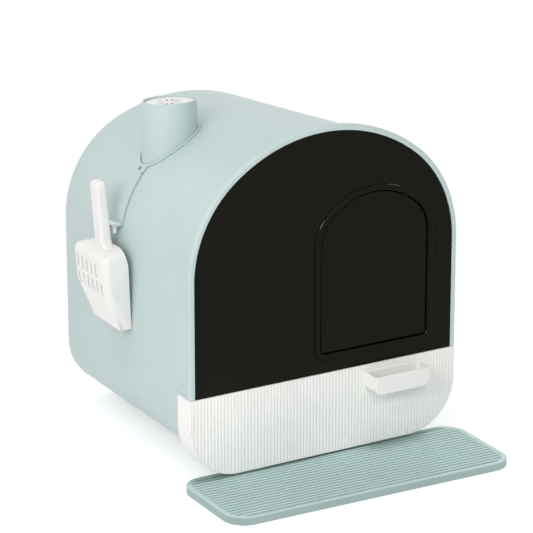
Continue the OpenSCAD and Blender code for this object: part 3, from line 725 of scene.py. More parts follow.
class LITTERBOX_OT_hood(bpy.types.Operator):
    """Models the drafted hood with its rounded rear edge, wall, vent opening, clip holes and screw posts"""
    bl_idname = "litterbox.hood"
    bl_label = "Hood"

    def execute(self, context):
        body, hood, vent = (context.scene.litterbox_body, context.scene.litterbox_hood,
                            context.scene.litterbox_vent)
        shell = hood_form(body, hood)
        modify(shell, "SOLIDIFY", thickness=hood.wall, offset=-1, use_even_offset=True, use_rim=True)
        outward(shell)
        combine(shell, rod("vent opening", vent.foot_radius + GAP,
                           (vent.x, vent.y, CABIN_Z), (vent.x, vent.y, SKY_Z), 128))
        for hole in clip_holes(hood):
            combine(shell, hole)
        softened(shell, 0.5 * MM, segments=2, angle=50)
        posts = []
        start = body.hood_y + context.scene.litterbox_frame.tongue_length
        for place in body.post_places():
            post = tube("post", place, start, start + hood.post_length, body.post_radius, body.screw_hole)
            combine(post, hood_form(body, hood, -hood.post_inset, closed=True), "INTERSECT")
            smoothed(post)
            posts.append(post)
        stands_for(joined(shell, *posts), "hood_shell")
        return {"FINISHED"}


def frame_ring(body, settings):
    """The ring of the front frame, its section carried from the sill up over the arch."""
    edge, inner_edge = settings.edge_radius, settings.inner_edge
    outer = body.half_width
    recess = outer - settings.panel_room
    lip = outer - settings.lip_inset
    tongue = outer - settings.tongue_inset
    tongue_y = body.hood_y + settings.tongue_length
    ring = pen_at("front frame", (recess, body.face_y + inner_edge, body.sill_z))
    sweep((recess + inner_edge, body.face_y + inner_edge, 0), X_TO_Y, 90, 3)
    draw(x=outer - edge - recess - inner_edge)
    sweep((outer - edge, body.face_y + edge, 0), X_TO_Y, 90, 7)
    draw(y=body.hood_y - body.face_y - edge)
    draw(x=tongue - outer)
    draw(y=tongue_y - body.hood_y)
    draw(x=lip - tongue)
    draw(y=body.lip_y - tongue_y)
    draw(x=recess - lip)
    fill_all()
    draw(z=body.spring - body.sill_z)
    body.front_arch().sweep_half(40, 24)
    bpy.ops.mesh.delete(type="ONLY_FACE")
    mirrored(ring)
    outward(ring)
    smoothed(ring)
    return ring


LEDGE_STEPS = 8     # straight lines in the hollow over a ledge


def drawer_ledge(side, body, hood, settings):
    """The ledge over the drawer's return on one side, with a hollow up to the hood."""
    outer, low = body.half_width, body.sill_z
    root = outer - hood.step - settings.ledge_root
    high = low + settings.ledge_thickness
    hollow = hood.step - settings.ledge_lip
    outline = [(root, low), (outer, low), (outer, high)]
    for step in range(LEDGE_STEPS + 1):
        turn = math.radians(270 - 90 * step / LEDGE_STEPS)
        outline.append((outer - settings.ledge_lip + hollow * math.cos(turn),
                        high + hollow * (1 + math.sin(turn))))
    outline.append((root, high + hollow))
    ledge = polyline("ledge", [(side * x, body.hood_y - OVERLAP, z) for x, z in outline])
    filled(ledge, settings.ledge_length + OVERLAP)
    softened(ledge, 0.4 * MM, angle=50)
    return ledge


class LITTERBOX_OT_frame(bpy.types.Operator):
    """Models the front frame: the ring with its lip and tongue, the sill, the ledges and the screw bosses"""
    bl_idname = "litterbox.frame"
    bl_label = "Front Frame"

    def execute(self, context):
        body, hood, settings = (context.scene.litterbox_body, context.scene.litterbox_hood,
                                context.scene.litterbox_frame)
        sill_half = body.half_width - settings.tongue_inset - OVERLAP
        sill = box("sill", (-sill_half, body.lip_y, body.sill_z),
                   (sill_half, settings.sill_y, body.sill_z + settings.sill_height))
        softened(sill, 0.6 * MM)
        pieces = [sill]
        pieces += [drawer_ledge(side, body, hood, settings) for side in (1, -1)]
        for place in body.post_places():
            boss = tube("boss", place, body.lip_y, body.hood_y + settings.tongue_length,
                        body.post_radius, body.screw_hole)
            smoothed(boss)
            pieces.append(boss)
        stands_for(joined(frame_ring(body, settings), *pieces), "front_frame")
        return {"FINISHED"}


# ---------------------------------------------------------------- panel and door

class DoorSettings(bpy.types.PropertyGroup):
    """The panel, the door opening and the flap."""
    panel_inset: length("Panel Inset", "Inset of the panel in the frame's outline", 7.9)
    panel_y: length("Panel Face", "Place of the panel's face", -201.5)
    x: length("Door Place", "Place of the door's middle", 78.4)
    half_width: length("Half Width", "Half the width of the opening", 88)
    rise: length("Rise", "Rise of the opening's arch", 69)
    lift: length("Lift", "How far the opening's crown stands above its shoulders' circles", 12)
    spring: length("Spring Height", "Height at which the opening's arch springs", 314)
    low: length("Lower Edge", "Height of the opening's lower edge", 160)
    corner: length("Corner", "Lower corner radius of the opening", 8)
    bead_width: length("Bead Width", "Width of the raised bead", 8.7)
    bead_height: length("Bead Height", "Height of the bead over the panel", 2.5)
    bead_edge: length("Bead Edge", "Radius of the bead's edges", 1.9)
    gap: length("Flap Gap", "Gap round the flap", 2)
    flap_y: length("Flap Face", "Place of the flap's front face", -201.2)
    flap_thickness: length("Flap Thickness", "Thickness of the flap", 2.6)
    hinge_z: length("Hinge Height", "Height of the hinge axis", 368.3)
    hinge_y: length("Hinge Place", "Place of the hinge axis", -199.9)
    lug_x: length("Lug Place", "Distance of the lugs' ends from the door's middle", 60.6)
    lug_length: length("Lug Length", "Length of the lugs that hold the hinge pins", 6.6)
    lug_radius: length("Lug Radius", "Radius of those lugs", 2.6)
    notch_x: length("Notch Place", "Distance of the flap's hinge notches from its middle", 58.2)
    notch_radius: length("Notch Radius", "Radius of the notches", 4.6)
    boss_x: length("Boss Place", "Distance of the pin bosses' ends from the flap's middle", 55.7)
    boss_length: length("Boss Length", "Length of the pin bosses on the flap", 10.5)
    boss_radius: length("Boss Radius", "Radius of the pin bosses", 2.1)

    def arch(self):
        """The arch of the door opening, about x = 0."""
        return Arch(self.half_width, self.rise, self.lift, self.spring)


def door_plate(name, door, y, inset, depth):
    """A plate with the door's outline about x = 0, drawn in by `inset`."""
    plate = pen_at(name, (0, y, door.low + inset))
    outline_half(door.arch().grown(-inset), door.low + inset, door.corner - inset, steps=8)
    mirrored(plate)
    return filled(plate, depth)


def hinge_rod(name, door, radius, start, end):
    """A rod on the hinge axis between two distances from the door's middle."""
    return rod(name, radius, (start, door.hinge_y, door.hinge_z), (end, door.hinge_y, door.hinge_z))


def door_bead(door):
    """The raised bead round the opening, its section drawn under the opening and carried round it."""
    root, edge = door.panel_y + OVERLAP, door.bead_edge
    turn_y = door.panel_y - door.bead_height + edge
    bead = pen_at("bead", (0, root, door.low))
    draw(y=turn_y - root)
    sweep((0, turn_y, door.low - edge), Y_TO_Z, 90, 5)
    draw(z=2 * edge - door.bead_width)
    sweep((0, turn_y, door.low - door.bead_width + edge), Y_TO_Z, 90, 5)
    draw(y=root - turn_y)
    bpy.ops.mesh.select_all(action="SELECT")
    tub_half(door.half_width, door.low, door.corner, door.spring, 12)
    door.arch().sweep_half(36, 20)
    mirrored(bead)
    outward(bead)
    smoothed(bead, 60)
    return bead


OPENING_START = 5 * MM      # how far in front of the panel's face the opening's cutter starts
OPENING_DEPTH = 12 * MM     # depth of that cutter


class LITTERBOX_OT_panel_plate(bpy.types.Operator):
    """Models the glossy panel with its door opening, the swept bead and the hinge lugs"""
    bl_idname = "litterbox.panel_plate"
    bl_label = "Front Panel"

    def execute(self, context):
        body, door = context.scene.litterbox_body, context.scene.litterbox_door
        arch = body.front_arch(door.panel_inset)
        plate = pen_at("front panel", (0, door.panel_y, body.sill_z))
        draw(x=arch.half_width)
        draw(z=arch.spring - body.sill_z)
        arch.sweep_half(40, 24)
        mirrored(plate)
        filled(plate, body.lip_y - door.panel_y)
        opening = door_plate("opening", door, door.panel_y - OPENING_START, 0, OPENING_DEPTH)
        moved(opening, door.x)
        combine(plate, opening)
        softened(plate, 0.35 * MM, segments=2, angle=60)

        bead = door_bead(door)
        moved(bead, door.x)
        lugs = []
        for side in (1, -1):
            lug = hinge_rod("lug", door, door.lug_radius, side * door.lug_x,
                            side * (door.lug_x + door.lug_length))
            softened(lug, 0.3 * MM)
            moved(lug, door.x)
            lugs.append(lug)
        stands_for(joined(plate, bead, *lugs), "front_panel")
        return {"FINISHED"}


class LITTERBOX_OT_flap(bpy.types.Operator):
    """Models the swing flap with its rounded edge, hinge notches and pin bosses"""
    bl_idname = "litterbox.flap"
    bl_label = "Door Flap"

    def execute(self, context):
        door = context.scene.litterbox_door
        flap = door_plate("flap", door, door.flap_y, door.gap, door.flap_thickness)
        for side in (1, -1):
            combine(flap, hinge_rod("notch", door, door.notch_radius, side * door.notch_x,
                                    side * door.half_width))
        softened(flap, 0.6 * MM, segments=3, angle=50)
        bosses = []
        for side in (1, -1):
            boss = hinge_rod("boss", door, door.boss_radius, side * (door.boss_x - door.boss_length),
                             side * door.boss_x)
            combine(boss, box("front", (-door.half_width, door.flap_y - BEYOND, door.hinge_z - BEYOND),
                              (door.half_width, door.flap_y, door.hinge_z + BEYOND)))
            softened(boss, 0.4 * MM)
            bosses.append(boss)
        flap = joined(flap, *bosses)
        moved(flap, door.x)
        stands_for(flap, "door_flap")
        return {"FINISHED"}


# ---------------------------------------------------------------- drawer

class DrawerSettings(bpy.types.PropertyGroup):
    """The drawer's front, pull and tray."""
    low: length("Lower Edge", "Height of the front's lower edge", 14)
    top: length("Top", "Height of the front's upper edge", 132.7)
    corner: length("Corner", "Bottom corner radius of the front", 75.3)
    thickness: length("Thickness", "Thickness of the front", 3.5)
    back_y: length("Back", "Place of the front's rear face", -199)
    return_depth: length("Return Depth", "Depth of the returns that wrap round the hood", 35)
    rib_count: number("Rib Count", "Number of the upright ribs", 81)
    rib_pitch: length("Rib Pitch", "Pitch of the upright ribs", 5.25)
    rib_depth: length("Rib Depth", "Depth of the grooves between the ribs", 0.8)
    rib_slope: length("Rib Slope", "Width of the slope from the last groove to the smooth corner", 0.6)
    top_band: length("Top Band", "Height of the smooth band along the front's upper edge", 1.6)
    seam: length("Seam", "How far the front's plate reaches into the returns", 0.3)
    pull_x: length("Pull Place", "Place of the pull's middle", 107.8)
    pull_width: length("Pull Width", "Width of the pull", 88.5)
    pull_low: length("Pull Lower Edge", "Height of the pull's lower edge", 96)
    pull_height: length("Pull Height", "Height of the pull at the drawer's face", 27)
    pull_depth: length("Pull Depth", "How far the pull stands out", 30.5)
    pull_fall: length("Pull Fall", "Fall of the pull's side plates towards its front", 0.3)
    pull_wall: length("Pull Wall", "Wall of the pull", 2.6)
    pull_corner: length("Pull Corner", "Lower corner radius of the pull", 10)
    pad_side: length("Pad Side", "Reach of the smooth pad beyond the pull", 11)
    pad_top: length("Pad Top", "Reach of the smooth pad above the pull", 5)
    tray_half_width: length("Tray Half Width", "Half the tray's width", 178)
    tray_low: length("Tray Floor", "Height of the tray's underside", 28.7)
    tray_top: length("Tray Top", "Height of the tray's rim", 125.7)
    tray_corner: length("Tray Corner", "Bottom corner radius of the tray", 68)
    tray_rear: length("Tray Rear", "Place of the tray's rear wall", 184.5)
    tray_edge: length("Tray Edge", "Radius of the edges round the tray's rear wall", 5)
    tray_wall: length("Tray Wall", "Wall of the tray", 2.5)
    rim_width: length("Rim Width", "Width of the tray's rim", 5)
    skid_x: length("Skid Place", "Distance of the skids from the middle", 80)
    skid_width: length("Skid Width", "Width of the skids", 9.4)
    skid_low: length("Skid Lower Edge", "Height of the skids' underside", 24.8)


def ribbed_plate(body, drawer):
    """The drawer's front plate, reeded across its face, as high as the front and square in outline."""
    pitch, depth, low = drawer.rib_pitch, drawer.rib_depth, drawer.low
    count, half = drawer.rib_count, drawer.rib_count * drawer.rib_pitch / 2
    groove_y, flat_y = body.face_y + depth, body.face_y + depth / 2
    radius = (pitch * pitch / 4 + depth * depth) / (2 * depth)
    spread = 2 * math.degrees(math.asin(pitch / 2 / radius))
    ribs = pen_at("ribs", (-half, groove_y, low))
    sweep((pitch / 2 - half, body.face_y + radius, 0), X_TO_Y, spread, 8)
    to_object()
    repeated(ribs, count, (pitch, 0, 0))
    right = [(half, groove_y), (half + drawer.rib_slope, flat_y), (body.half_width, flat_y),
             (body.half_width, drawer.back_y)]
    band = polyline("band", [(-x, y, low) for x, y in right] + [(x, y, low) for x, y in reversed(right)])
    to_object()
    plate = joined(ribs, band)
    to_edit(plate)
    weld_all()
    fill_all()
    draw(z=drawer.top - low)
    to_object()
    outward(plate)
    return plate


class LITTERBOX_OT_drawer_front(bpy.types.Operator):
    """Models the reeded drawer front with its smooth pad and the returns that wrap round the hood"""
    bl_idname = "litterbox.drawer_front"
    bl_label = "Drawer Front"

    def execute(self, context):
        body, drawer = context.scene.litterbox_body, context.scene.litterbox_drawer
        plate = ribbed_plate(body, drawer)
        band = box("top band",
                   (-body.half_width, body.face_y + drawer.rib_depth / 4, drawer.top - drawer.top_band),
                   (body.half_width, drawer.back_y, drawer.top))
        combine(plate, band, "UNION")
        inset = drawer.thickness - drawer.seam
        outline = tub_outline("outline", body.face_y - BEYOND, body.half_width - inset, drawer.low + inset,
                              drawer.corner - inset, drawer.top + BEYOND, steps=32)
        combine(plate, filled(outline, 2 * BEYOND), "INTERSECT")
        smoothed(plate)

        start = drawer.rib_depth / 2
        returns = tub_outline("returns", body.face_y + start, body.half_width, drawer.low, drawer.corner,
                              drawer.top, steps=32)
        to_edit(returns)
        bpy.ops.mesh.select_all(action="SELECT")
        draw(y=drawer.return_depth - start)
        to_object()
        outward(returns)
        thicken_inwards(returns, drawer.thickness, (0, 0, drawer.top))
        softened(returns, 1.0 * MM, segments=4, angle=50)

        half, high = drawer.pull_width / 2, drawer.pull_low + drawer.pull_height + drawer.pad_top
        pad = box("pad", (drawer.pull_x - half, body.face_y, drawer.pull_low),
                  (drawer.pull_x + half + drawer.pad_side, drawer.back_y, high))
        softened(pad, 0.8 * MM)
        stands_for(joined(plate, returns, pad), "drawer_front")
        return {"FINISHED"}


class LITTERBOX_OT_pull(bpy.types.Operator):
    """Models the drawer pull as an open pocket with rounded edges and falling side plates"""
    bl_idname = "litterbox.pull"
    bl_label = "Drawer Pull"

    def execute(self, context):
        body, drawer = context.scene.litterbox_body, context.scene.litterbox_drawer
        top = drawer.pull_low + drawer.pull_height
        front = body.face_y - drawer.pull_depth
        pull = tub_outline("pull", body.face_y, drawer.pull_width / 2, drawer.pull_low, drawer.pull_corner,
                           top, steps=10)
        moved(pull, drawer.pull_x)
        filled(pull, -drawer.pull_depth)
        opened(pull, lambda co: co.z > top - NEAR)
        to_edit(pull)
        select_where(pull, lambda co: co.z > top - NEAR and co.y < front + NEAR)
        bpy.ops.transform.translate(value=(0, 0, -drawer.pull_fall))
        to_object()
        outward(pull)
        thicken_inwards(pull, drawer.pull_wall, (drawer.pull_x, body.face_y - drawer.pull_depth / 2, top))
        softened(pull, 1.1 * MM, segments=4, angle=40)
        stands_for(pull, "drawer_pull")
        return {"FINISHED"}


def tray_rim(front, rear, drawer):
    """The flat rim round the tray's sides and rear."""
    inner, outer = drawer.tray_half_width - drawer.tray_wall, drawer.tray_half_width + drawer.rim_width
    inner_rear, outer_rear = rear - drawer.tray_wall, rear + drawer.rim_width
    corners = [(inner, front), (outer, front), (outer, outer_rear), (-outer, outer_rear),
               (-outer, front), (-inner, front), (-inner, inner_rear), (inner, inner_rear)]
    rim = polyline("rim", [(x, y, drawer.tray_top - drawer.tray_wall) for x, y in corners])
    fill_all()
    draw(z=drawer.tray_wall)
    to_object()
    softened(rim, 0.8 * MM)
    return rim


class LITTERBOX_OT_tray(bpy.types.Operator):
    """Models the litter tray with its rounded corners, rim and skids"""
    bl_idname = "litterbox.tray"
    bl_label = "Drawer Tray"

    def execute(self, context):
        drawer = context.scene.litterbox_drawer
        front, rear, top = drawer.back_y, drawer.tray_rear, drawer.tray_top
        tray = tub_outline("tray", front, drawer.tray_half_width, drawer.tray_low, drawer.tray_corner,
                           top, steps=24)
        filled(tray, rear - front)
        opened(tray, lambda co: co.z > top - NEAR)
        to_edit(tray)
        select_where(tray, lambda co: co.y > rear - NEAR and co.z < top - NEAR, "EDGE")
        bpy.ops.mesh.bevel(offset=drawer.tray_edge, segments=5)
        to_object()
        outward(tray)
        thicken_inwards(tray, drawer.tray_wall, (0, 0, top))
        softened(tray, 0.5 * MM, segments=2, angle=50)
        skids = []
        for side in (1, -1):
            middle, half = side * drawer.skid_x, drawer.skid_width / 2
            skid = box("skid", (middle - half, front, drawer.skid_low),
                       (middle + half, rear, drawer.tray_low + OVERLAP))
            softened(skid, 0.6 * MM)
            skids.append(skid)
        stands_for(joined(tray, tray_rim(front, rear, drawer), *skids), "drawer_tray")
        return {"FINISHED"}


# ---------------------------------------------------------------- vent

class VentSettings(bpy.types.PropertyGroup):
    """The chimney, its cap and the filter pad."""
    x: length("Vent Place X", "Place of the chimney's axis across", -114)
    y: length("Vent Place Y", "Place of the chimney's axis along", 26)
    foot_radius: length("Foot Radius", "Outer radius at the chimney's lower end", 40.4)
    rim_radius: length("Rim Radius", "Outer radius at the rim", 37.9)
    wall: length("Wall", "Wall of the chimney", 2.5)
    low: length("Lower End", "Height of the chimney's lower end", 379)
    top: length("Rim Height", "Height of the rim at its front", 489)
    rim_fall: rotation("Rim Fall", "Fall of the rim towards the rear", 5.2)
    ledge_z: length("Ledge", "Height of the ledge that carries the cap", 470.47)
    ledge_width: length("Ledge Width", "Width of that ledge", 2)
    ledge_thickness: length("Ledge Thickness", "Thickness of that ledge", 3)
    ledge_seam: length("Ledge Seam", "How far that ledge reaches into the chimney's wall", 0.3)
    saddle_width: length("Saddle Width", "Width of the saddle on the hood", 2.2)
    saddle_thickness: length("Saddle Thickness", "Thickness of the saddle", 3)
    saddle_seam: length("Saddle Seam", "How far the saddle reaches into the chimney's wall", 0.4)
    cap_recess: length("Cap Recess", "Depth of the cap below the rim", 3)
    cap_radius: length("Cap Radius", "Radius of the cap", 35)
    cap_low: length("Cap Lower Edge", "Height of the cap's skirt", 470.77)
    cap_wall: length("Cap Wall", "Wall of the cap", 1.4)
    slot_count: number("Slot Count", "Number of the air slots round the cap's middle", 12)
    slot_inner: length("Slot Start", "Distance of the slots' inner ends from the cap's middle", 10)
    slot_outer: length("Slot End", "Distance of their outer ends from the cap's middle", 18)
    slot_radius: length("Slot Radius", "Half the width of the slots, and radius of the middle hole", 1.6)
    pad_z: length("Pad Height", "Height of the pad's underside", 440.6)
    pad_radius: length("Pad Radius", "Radius of the pad", 30.3)
    pad_thickness: length("Pad Thickness", "Thickness of the pad", 10)


def cut_above_rim(piece, vent, drop, fill):
    """Takes away what lies above the sloping rim's plane, lowered by `drop`."""
    to_edit(piece)
    bpy.ops.mesh.select_all(action="SELECT")
    bpy.ops.mesh.bisect(
        plane_co=(vent.x, vent.y - vent.rim_radius, vent.top - drop),
        plane_no=(0, math.sin(vent.rim_fall), math.cos(vent.rim_fall)), clear_outer=True, use_fill=fill)
    to_object()


def chimney_ledge(vent):
    """The ring inside the chimney that carries the cap."""
    inner = vent.rim_radius - vent.wall
    low = vent.ledge_z - vent.ledge_thickness
    ledge = rod("ledge", inner + vent.ledge_seam, (vent.x, vent.y, low), (vent.x, vent.y, vent.ledge_z), 96)
    combine(ledge, rod("bore", inner - vent.ledge_width, (vent.x, vent.y, low - BEYOND),
                       (vent.x, vent.y, vent.ledge_z + BEYOND), 96))
    softened(ledge, 0.4 * MM, segments=2)
    return ledge


def chimney_saddle(body, hood, vent):
    """The flange round the chimney's foot, dropped onto the hood."""
    inner = vent.foot_radius - vent.saddle_seam
    grow = (vent.foot_radius + vent.saddle_width) / inner
    bpy.ops.mesh.primitive_circle_add(vertices=160, radius=inner, location=(vent.x, vent.y, SKY_Z))
    saddle = settled("saddle")
    to_edit(saddle)
    bpy.ops.mesh.select_all(action="SELECT")
    bpy.ops.mesh.extrude_region_move()
    bpy.ops.transform.resize(value=(grow, grow, 1), center_override=(vent.x, vent.y, SKY_Z))
    to_object()
    on_hood(saddle, body, hood, "Z", vent.saddle_thickness)
    softened(saddle, 0.9 * MM, segments=4, angle=50)
    return saddle


class LITTERBOX_OT_chimney(bpy.types.Operator):
    """Models the drafted chimney with its sloping rim, inner ledge and the saddle that follows the hood"""
    bl_idname = "litterbox.chimney"
    bl_label = "Vent Chimney"

    def execute(self, context):
        body, hood, vent = (context.scene.litterbox_body, context.scene.litterbox_hood,
                            context.scene.litterbox_vent)
        bpy.ops.mesh.primitive_cone_add(
            vertices=160, radius1=vent.foot_radius, radius2=vent.rim_radius, depth=vent.top - vent.low,
            end_fill_type="NOTHING", location=(vent.x, vent.y, (vent.top + vent.low) / 2))
        chimney = settled("vent chimney")
        cut_above_rim(chimney, vent, 0, fill=False)
        outward(chimney)
        thicken_inwards(chimney, vent.wall, (vent.x, vent.y, vent.low))
        softened(chimney, 0.7 * MM, segments=4, angle=50)
        stands_for(joined(chimney, chimney_ledge(vent), chimney_saddle(body, hood, vent)), "vent_chimney")
        return {"FINISHED"}


DRILL_RISE = 20 * MM     # how far the cap's drills stand above the chimney's rim


def cap_drill(vent, reach, turn):
    """A drill down through the cap, `reach` from its middle in the direction `turn`."""
    x, y = vent.x + reach * math.cos(turn), vent.y + reach * math.sin(turn)
    return rod("drill", vent.slot_radius, (x, y, vent.cap_low), (x, y, vent.top + DRILL_RISE), 32)


class LITTERBOX_OT_cap(bpy.types.Operator):
    """Models the vent cap with its sloping top, skirt, ring of air slots and middle hole"""
    bl_idname = "litterbox.cap"
    bl_label = "Vent Cap"

    def execute(self, context):
        vent = context.scene.litterbox_vent
        cap = rod("vent cap", vent.cap_radius, (vent.x, vent.y, vent.cap_low),
                  (vent.x, vent.y, vent.top + BEYOND), 128)
        cut_above_rim(cap, vent, vent.cap_recess, fill=True)
        outward(cap)
        opened(cap, lambda co: co.z < vent.cap_low + NEAR)
        modify(cap, "SOLIDIFY", thickness=vent.cap_wall, offset=-1, use_even_offset=True, use_rim=True)
        outward(cap)
        drills = []
        for i in range(vent.slot_count):
            turn = math.radians(360 * (i + 0.5) / vent.slot_count)
            ends = [cap_drill(vent, reach, turn) for reach in (vent.slot_inner, vent.slot_outer)]
            drills.append(hulled("drill", *ends))
        drills.append(hulled("drill", cap_drill(vent, 0, 0)))
        combine(cap, joined(*drills))
        softened(cap, 0.4 * MM, segments=3, angle=40)
        stands_for(cap, "vent_cap")
        return {"FINISHED"}


class LITTERBOX_OT_pad(bpy.types.Operator):
    """Models the soft carbon pad as a puffed felt disc"""
    bl_idname = "litterbox.pad"
    bl_label = "Carbon Pad"

    def execute(self, context):
        vent = context.scene.litterbox_vent
        bpy.ops.mesh.primitive_grid_add(x_subdivisions=72, y_subdivisions=72, size=2 * vent.pad_radius,
                                        location=(vent.x, vent.y, vent.pad_z))
        pad = settled("carbon pad")
        to_edit(pad)
        select_where(pad, lambda co: (co.xy - Vector((vent.x, vent.y))).length > vent.pad_radius, "VERT")
        bpy.ops.mesh.delete(type="VERT")
        bpy.ops.mesh.select_all(action="SELECT")
        draw(z=vent.pad_thickness)
        to_object()
        outward(pad)
        modify(pad, "SUBSURF", levels=1, render_levels=1)
        felt = bpy.data.textures.new("Felt", "CLOUDS")
        felt.noise_scale = 0.004
        felt.noise_depth = 3
        modify(pad, "DISPLACE", texture=felt, strength=0.8 * MM, mid_level=0.7)
        smoothed(pad, 80)
        stands_for(pad, "carbon_pad")
        return {"FINISHED"}


# ---------------------------------------------------------------- scoop and its hanger

class ScoopSettings(bpy.types.PropertyGroup):
    """The scoop and the hanger, in the frame of the hood's left wall."""
    wall_x: length("Wall Place", "Place of the hood's left wall at the hanger", -197.69)
    y: length("Hanger Place", "Place of the hanger along the hood", 27)
    turn: rotation("Turn", "Draft of the hood's side", 2.509)
    strap_width: length("Strap Width", "Width of the strap", 24)
    strap_thickness: length("Strap Thickness", "Thickness of the strap", 2.6)
    strap_undercut: length("Strap Undercut", "Depth of the groove under the strap's long edges", 1.1)
    strap_top: length("Strap Top", "Height of the strap's sheet before the chimney's room is cut out", 400)
    strap_gap: length("Strap Gap", "Gap between the strap and the chimney's saddle", 0.3)
    nub_radius: length("Nub Radius", "Radius of the nub where the strap's front edge meets the shelf", 1.5)
    shelf_z: length("Shelf", "Height of the shelf's upper face", 321.5)
    shelf_thickness: length("Shelf Thickness", "Thickness of the shelf", 2.6)
    shelf_reach: length("Shelf Reach", "How far the shelf stands out", 14)
    shelf_root: length("Shelf Root", "How far the shelf reaches into the hood's wall", 1.5)
    fillet_radius: length("Fillet Radius", "Radius of the hollow between the shelf and the strap", 2.6)
    fillet_inset: length("Fillet Inset", "Distance of the hollow from the strap's long edges", 0.6)
    fillet_sunk: length("Fillet Sunk", "How far the hollow's piece lies in the shelf", 0.4)
    fillet_root: length("Fillet Root", "How far the hollow's piece reaches into the strap", 2)
    slot_depth: length("Slot Depth", "Depth of the slot", 5.4)
    slot_out: length("Slot Place", "Distance of the slot's middle from the wall", 8.5)
    slot_width: length("Slot Width", "Width of the slot", 18.4)
    lean: rotation("Lean", "Lean of the hanging scoop", 4.6)
    width: length("Basin Width", "Width of the basin", 100)
    drop: length("Basin Drop", "Distance of the basin's top below the shelf", 27.5)
    back: length("Basin Back", "Length of the upright part of the basin", 54)
    basin_length: length("Basin Length", "Length of the basin", 116)
    rim_out: length("Rim Place", "Distance of the open rim from the hook", 4.6)
    depth: length("Basin Depth", "Depth of the basin", 36.5)
    lip_depth: length("Lip Depth", "Depth left at the lip", 17)
    lip_taper: length("Lip Taper", "How much narrower the basin is at its lip, on each side", 8)
    lip_size: length("Lip Size", "Size of the bars from which the basin's form ends at the lip", 2)
    shoulder: length("Shoulder", "Shoulder radius of the open rim", 24)
    edge: length("Edge", "Radius of the basin's outer edges", 10)
    edge_drop: length("Edge Drop", "Distance of the rounded upper edge below the basin's top", 3)
    wall: length("Wall", "Wall of the scoop", 2)
    slit_width: length("Slit Width", "Width of a slit in the basin", 3.6)
    slit_length: length("Slit Length", "Length of a slit in the basin", 19)
    slit_pitch: length("Slit Pitch", "Pitch of the slits", 14)
    slit_drop: length("Slit Drop", "Distance of the upper slits below the basin's top", 18)
    slit_gap: length("Slit Gap", "Distance between the rows of slits", 5.5)
    handle_rise: length("Handle Rise", "Height of the handle's end above the shelf", 65)
    handle_sunk: length("Handle Sunk", "How far the handle's foot lies in the basin", 2)
    handle_width: length("Handle Width", "Width of the handle at its foot", 26)
    handle_end: length("Handle End", "Width of the handle at its end", 24)
    handle_thickness: length("Handle Thickness", "Thickness of the handle", 16)
    handle_radius: length("Handle Radius", "Corner radius of the handle", 5)
    handle_out: length("Handle Place", "Distance of the handle's inner face from the hook", 8)
    flare: length("Flare", "Spread of the handle's foot", 5)
    tail_width: length("Tail Width", "Width of the hook's tail", 17.4)
    tail_thickness: length("Tail Thickness", "Thickness of the hook's tail", 4.4)
    tail_length: length("Tail Length", "Length of the tail below the shelf", 12.5)
    tongue_low: length("Tongue Lower Edge", "Height of the tongue's underside over the shelf", 0.3)
    tongue_end: length("Tongue End", "Thickness of the tongue where it meets the tail", 1)
    tongue_root: length("Tongue Root", "Thickness of the tongue at its root in the handle", 7)
    tongue_sunk: length("Tongue Sunk", "How far the tongue reaches into the handle", 3)


def at_wall(piece, scoop, x=0.0):
    """Moves a piece from the hanger's frame, x = 0 on the wall and -x outwards, to its place."""
    piece.rotation_euler = (0, 0, -scoop.turn)
    piece.location = (scoop.wall_x + x * math.cos(scoop.turn), scoop.y - x * math.sin(scoop.turn),
                      scoop.shelf_z)
    applied(piece)


BESIDE_X = -0.3     # a place to the left of the hood


def strap_layer(inset, lift, thickness, context):
    """One layer of the strap, narrower by `inset` on each side, dropped onto the hood from the left."""
    body, hood, vent, scoop = (context.scene.litterbox_body, context.scene.litterbox_hood,
                               context.scene.litterbox_vent, context.scene.litterbox_scoop)
    low = scoop.shelf_z - scoop.shelf_thickness
    bpy.ops.mesh.primitive_grid_add(
        x_subdivisions=48, y_subdivisions=8, size=1, rotation=(0, math.radians(90), 0),
        location=(BESIDE_X, scoop.y, (low + scoop.strap_top) / 2))
    context.object.scale = (scoop.strap_top - low, scoop.strap_width - 2 * inset, 1)
    layer = settled("strap")
    on_hood(layer, body, hood, "X", thickness, lift)
    room = vent.foot_radius + vent.saddle_width + scoop.strap_gap + inset / 2
    combine(layer, rod("room", room, (vent.x, vent.y, CABIN_Z), (vent.x, vent.y, SKY_Z), 128))
    for hole in clip_holes(hood):
        combine(layer, hole)
    softened(layer, 0.6 * MM, segments=3, angle=50)
    return layer


def shelf_fillet(scoop):
    """The hollow above the shelf where it meets the strap."""
    radius, sunk, inset = scoop.fillet_radius, scoop.fillet_sunk, scoop.fillet_inset
    x = -scoop.strap_thickness - radius
    fillet = pen_at("fillet", (x, inset - scoop.strap_width / 2, -sunk))
    draw(z=sunk)
    sweep((x, 0, radius), X_TO_Z, 90, 6)
    draw(x=scoop.fillet_root)
    draw(z=-radius - sunk)
    filled(fillet, scoop.strap_width - 2 * inset)
    smoothed(fillet)
    return fillet


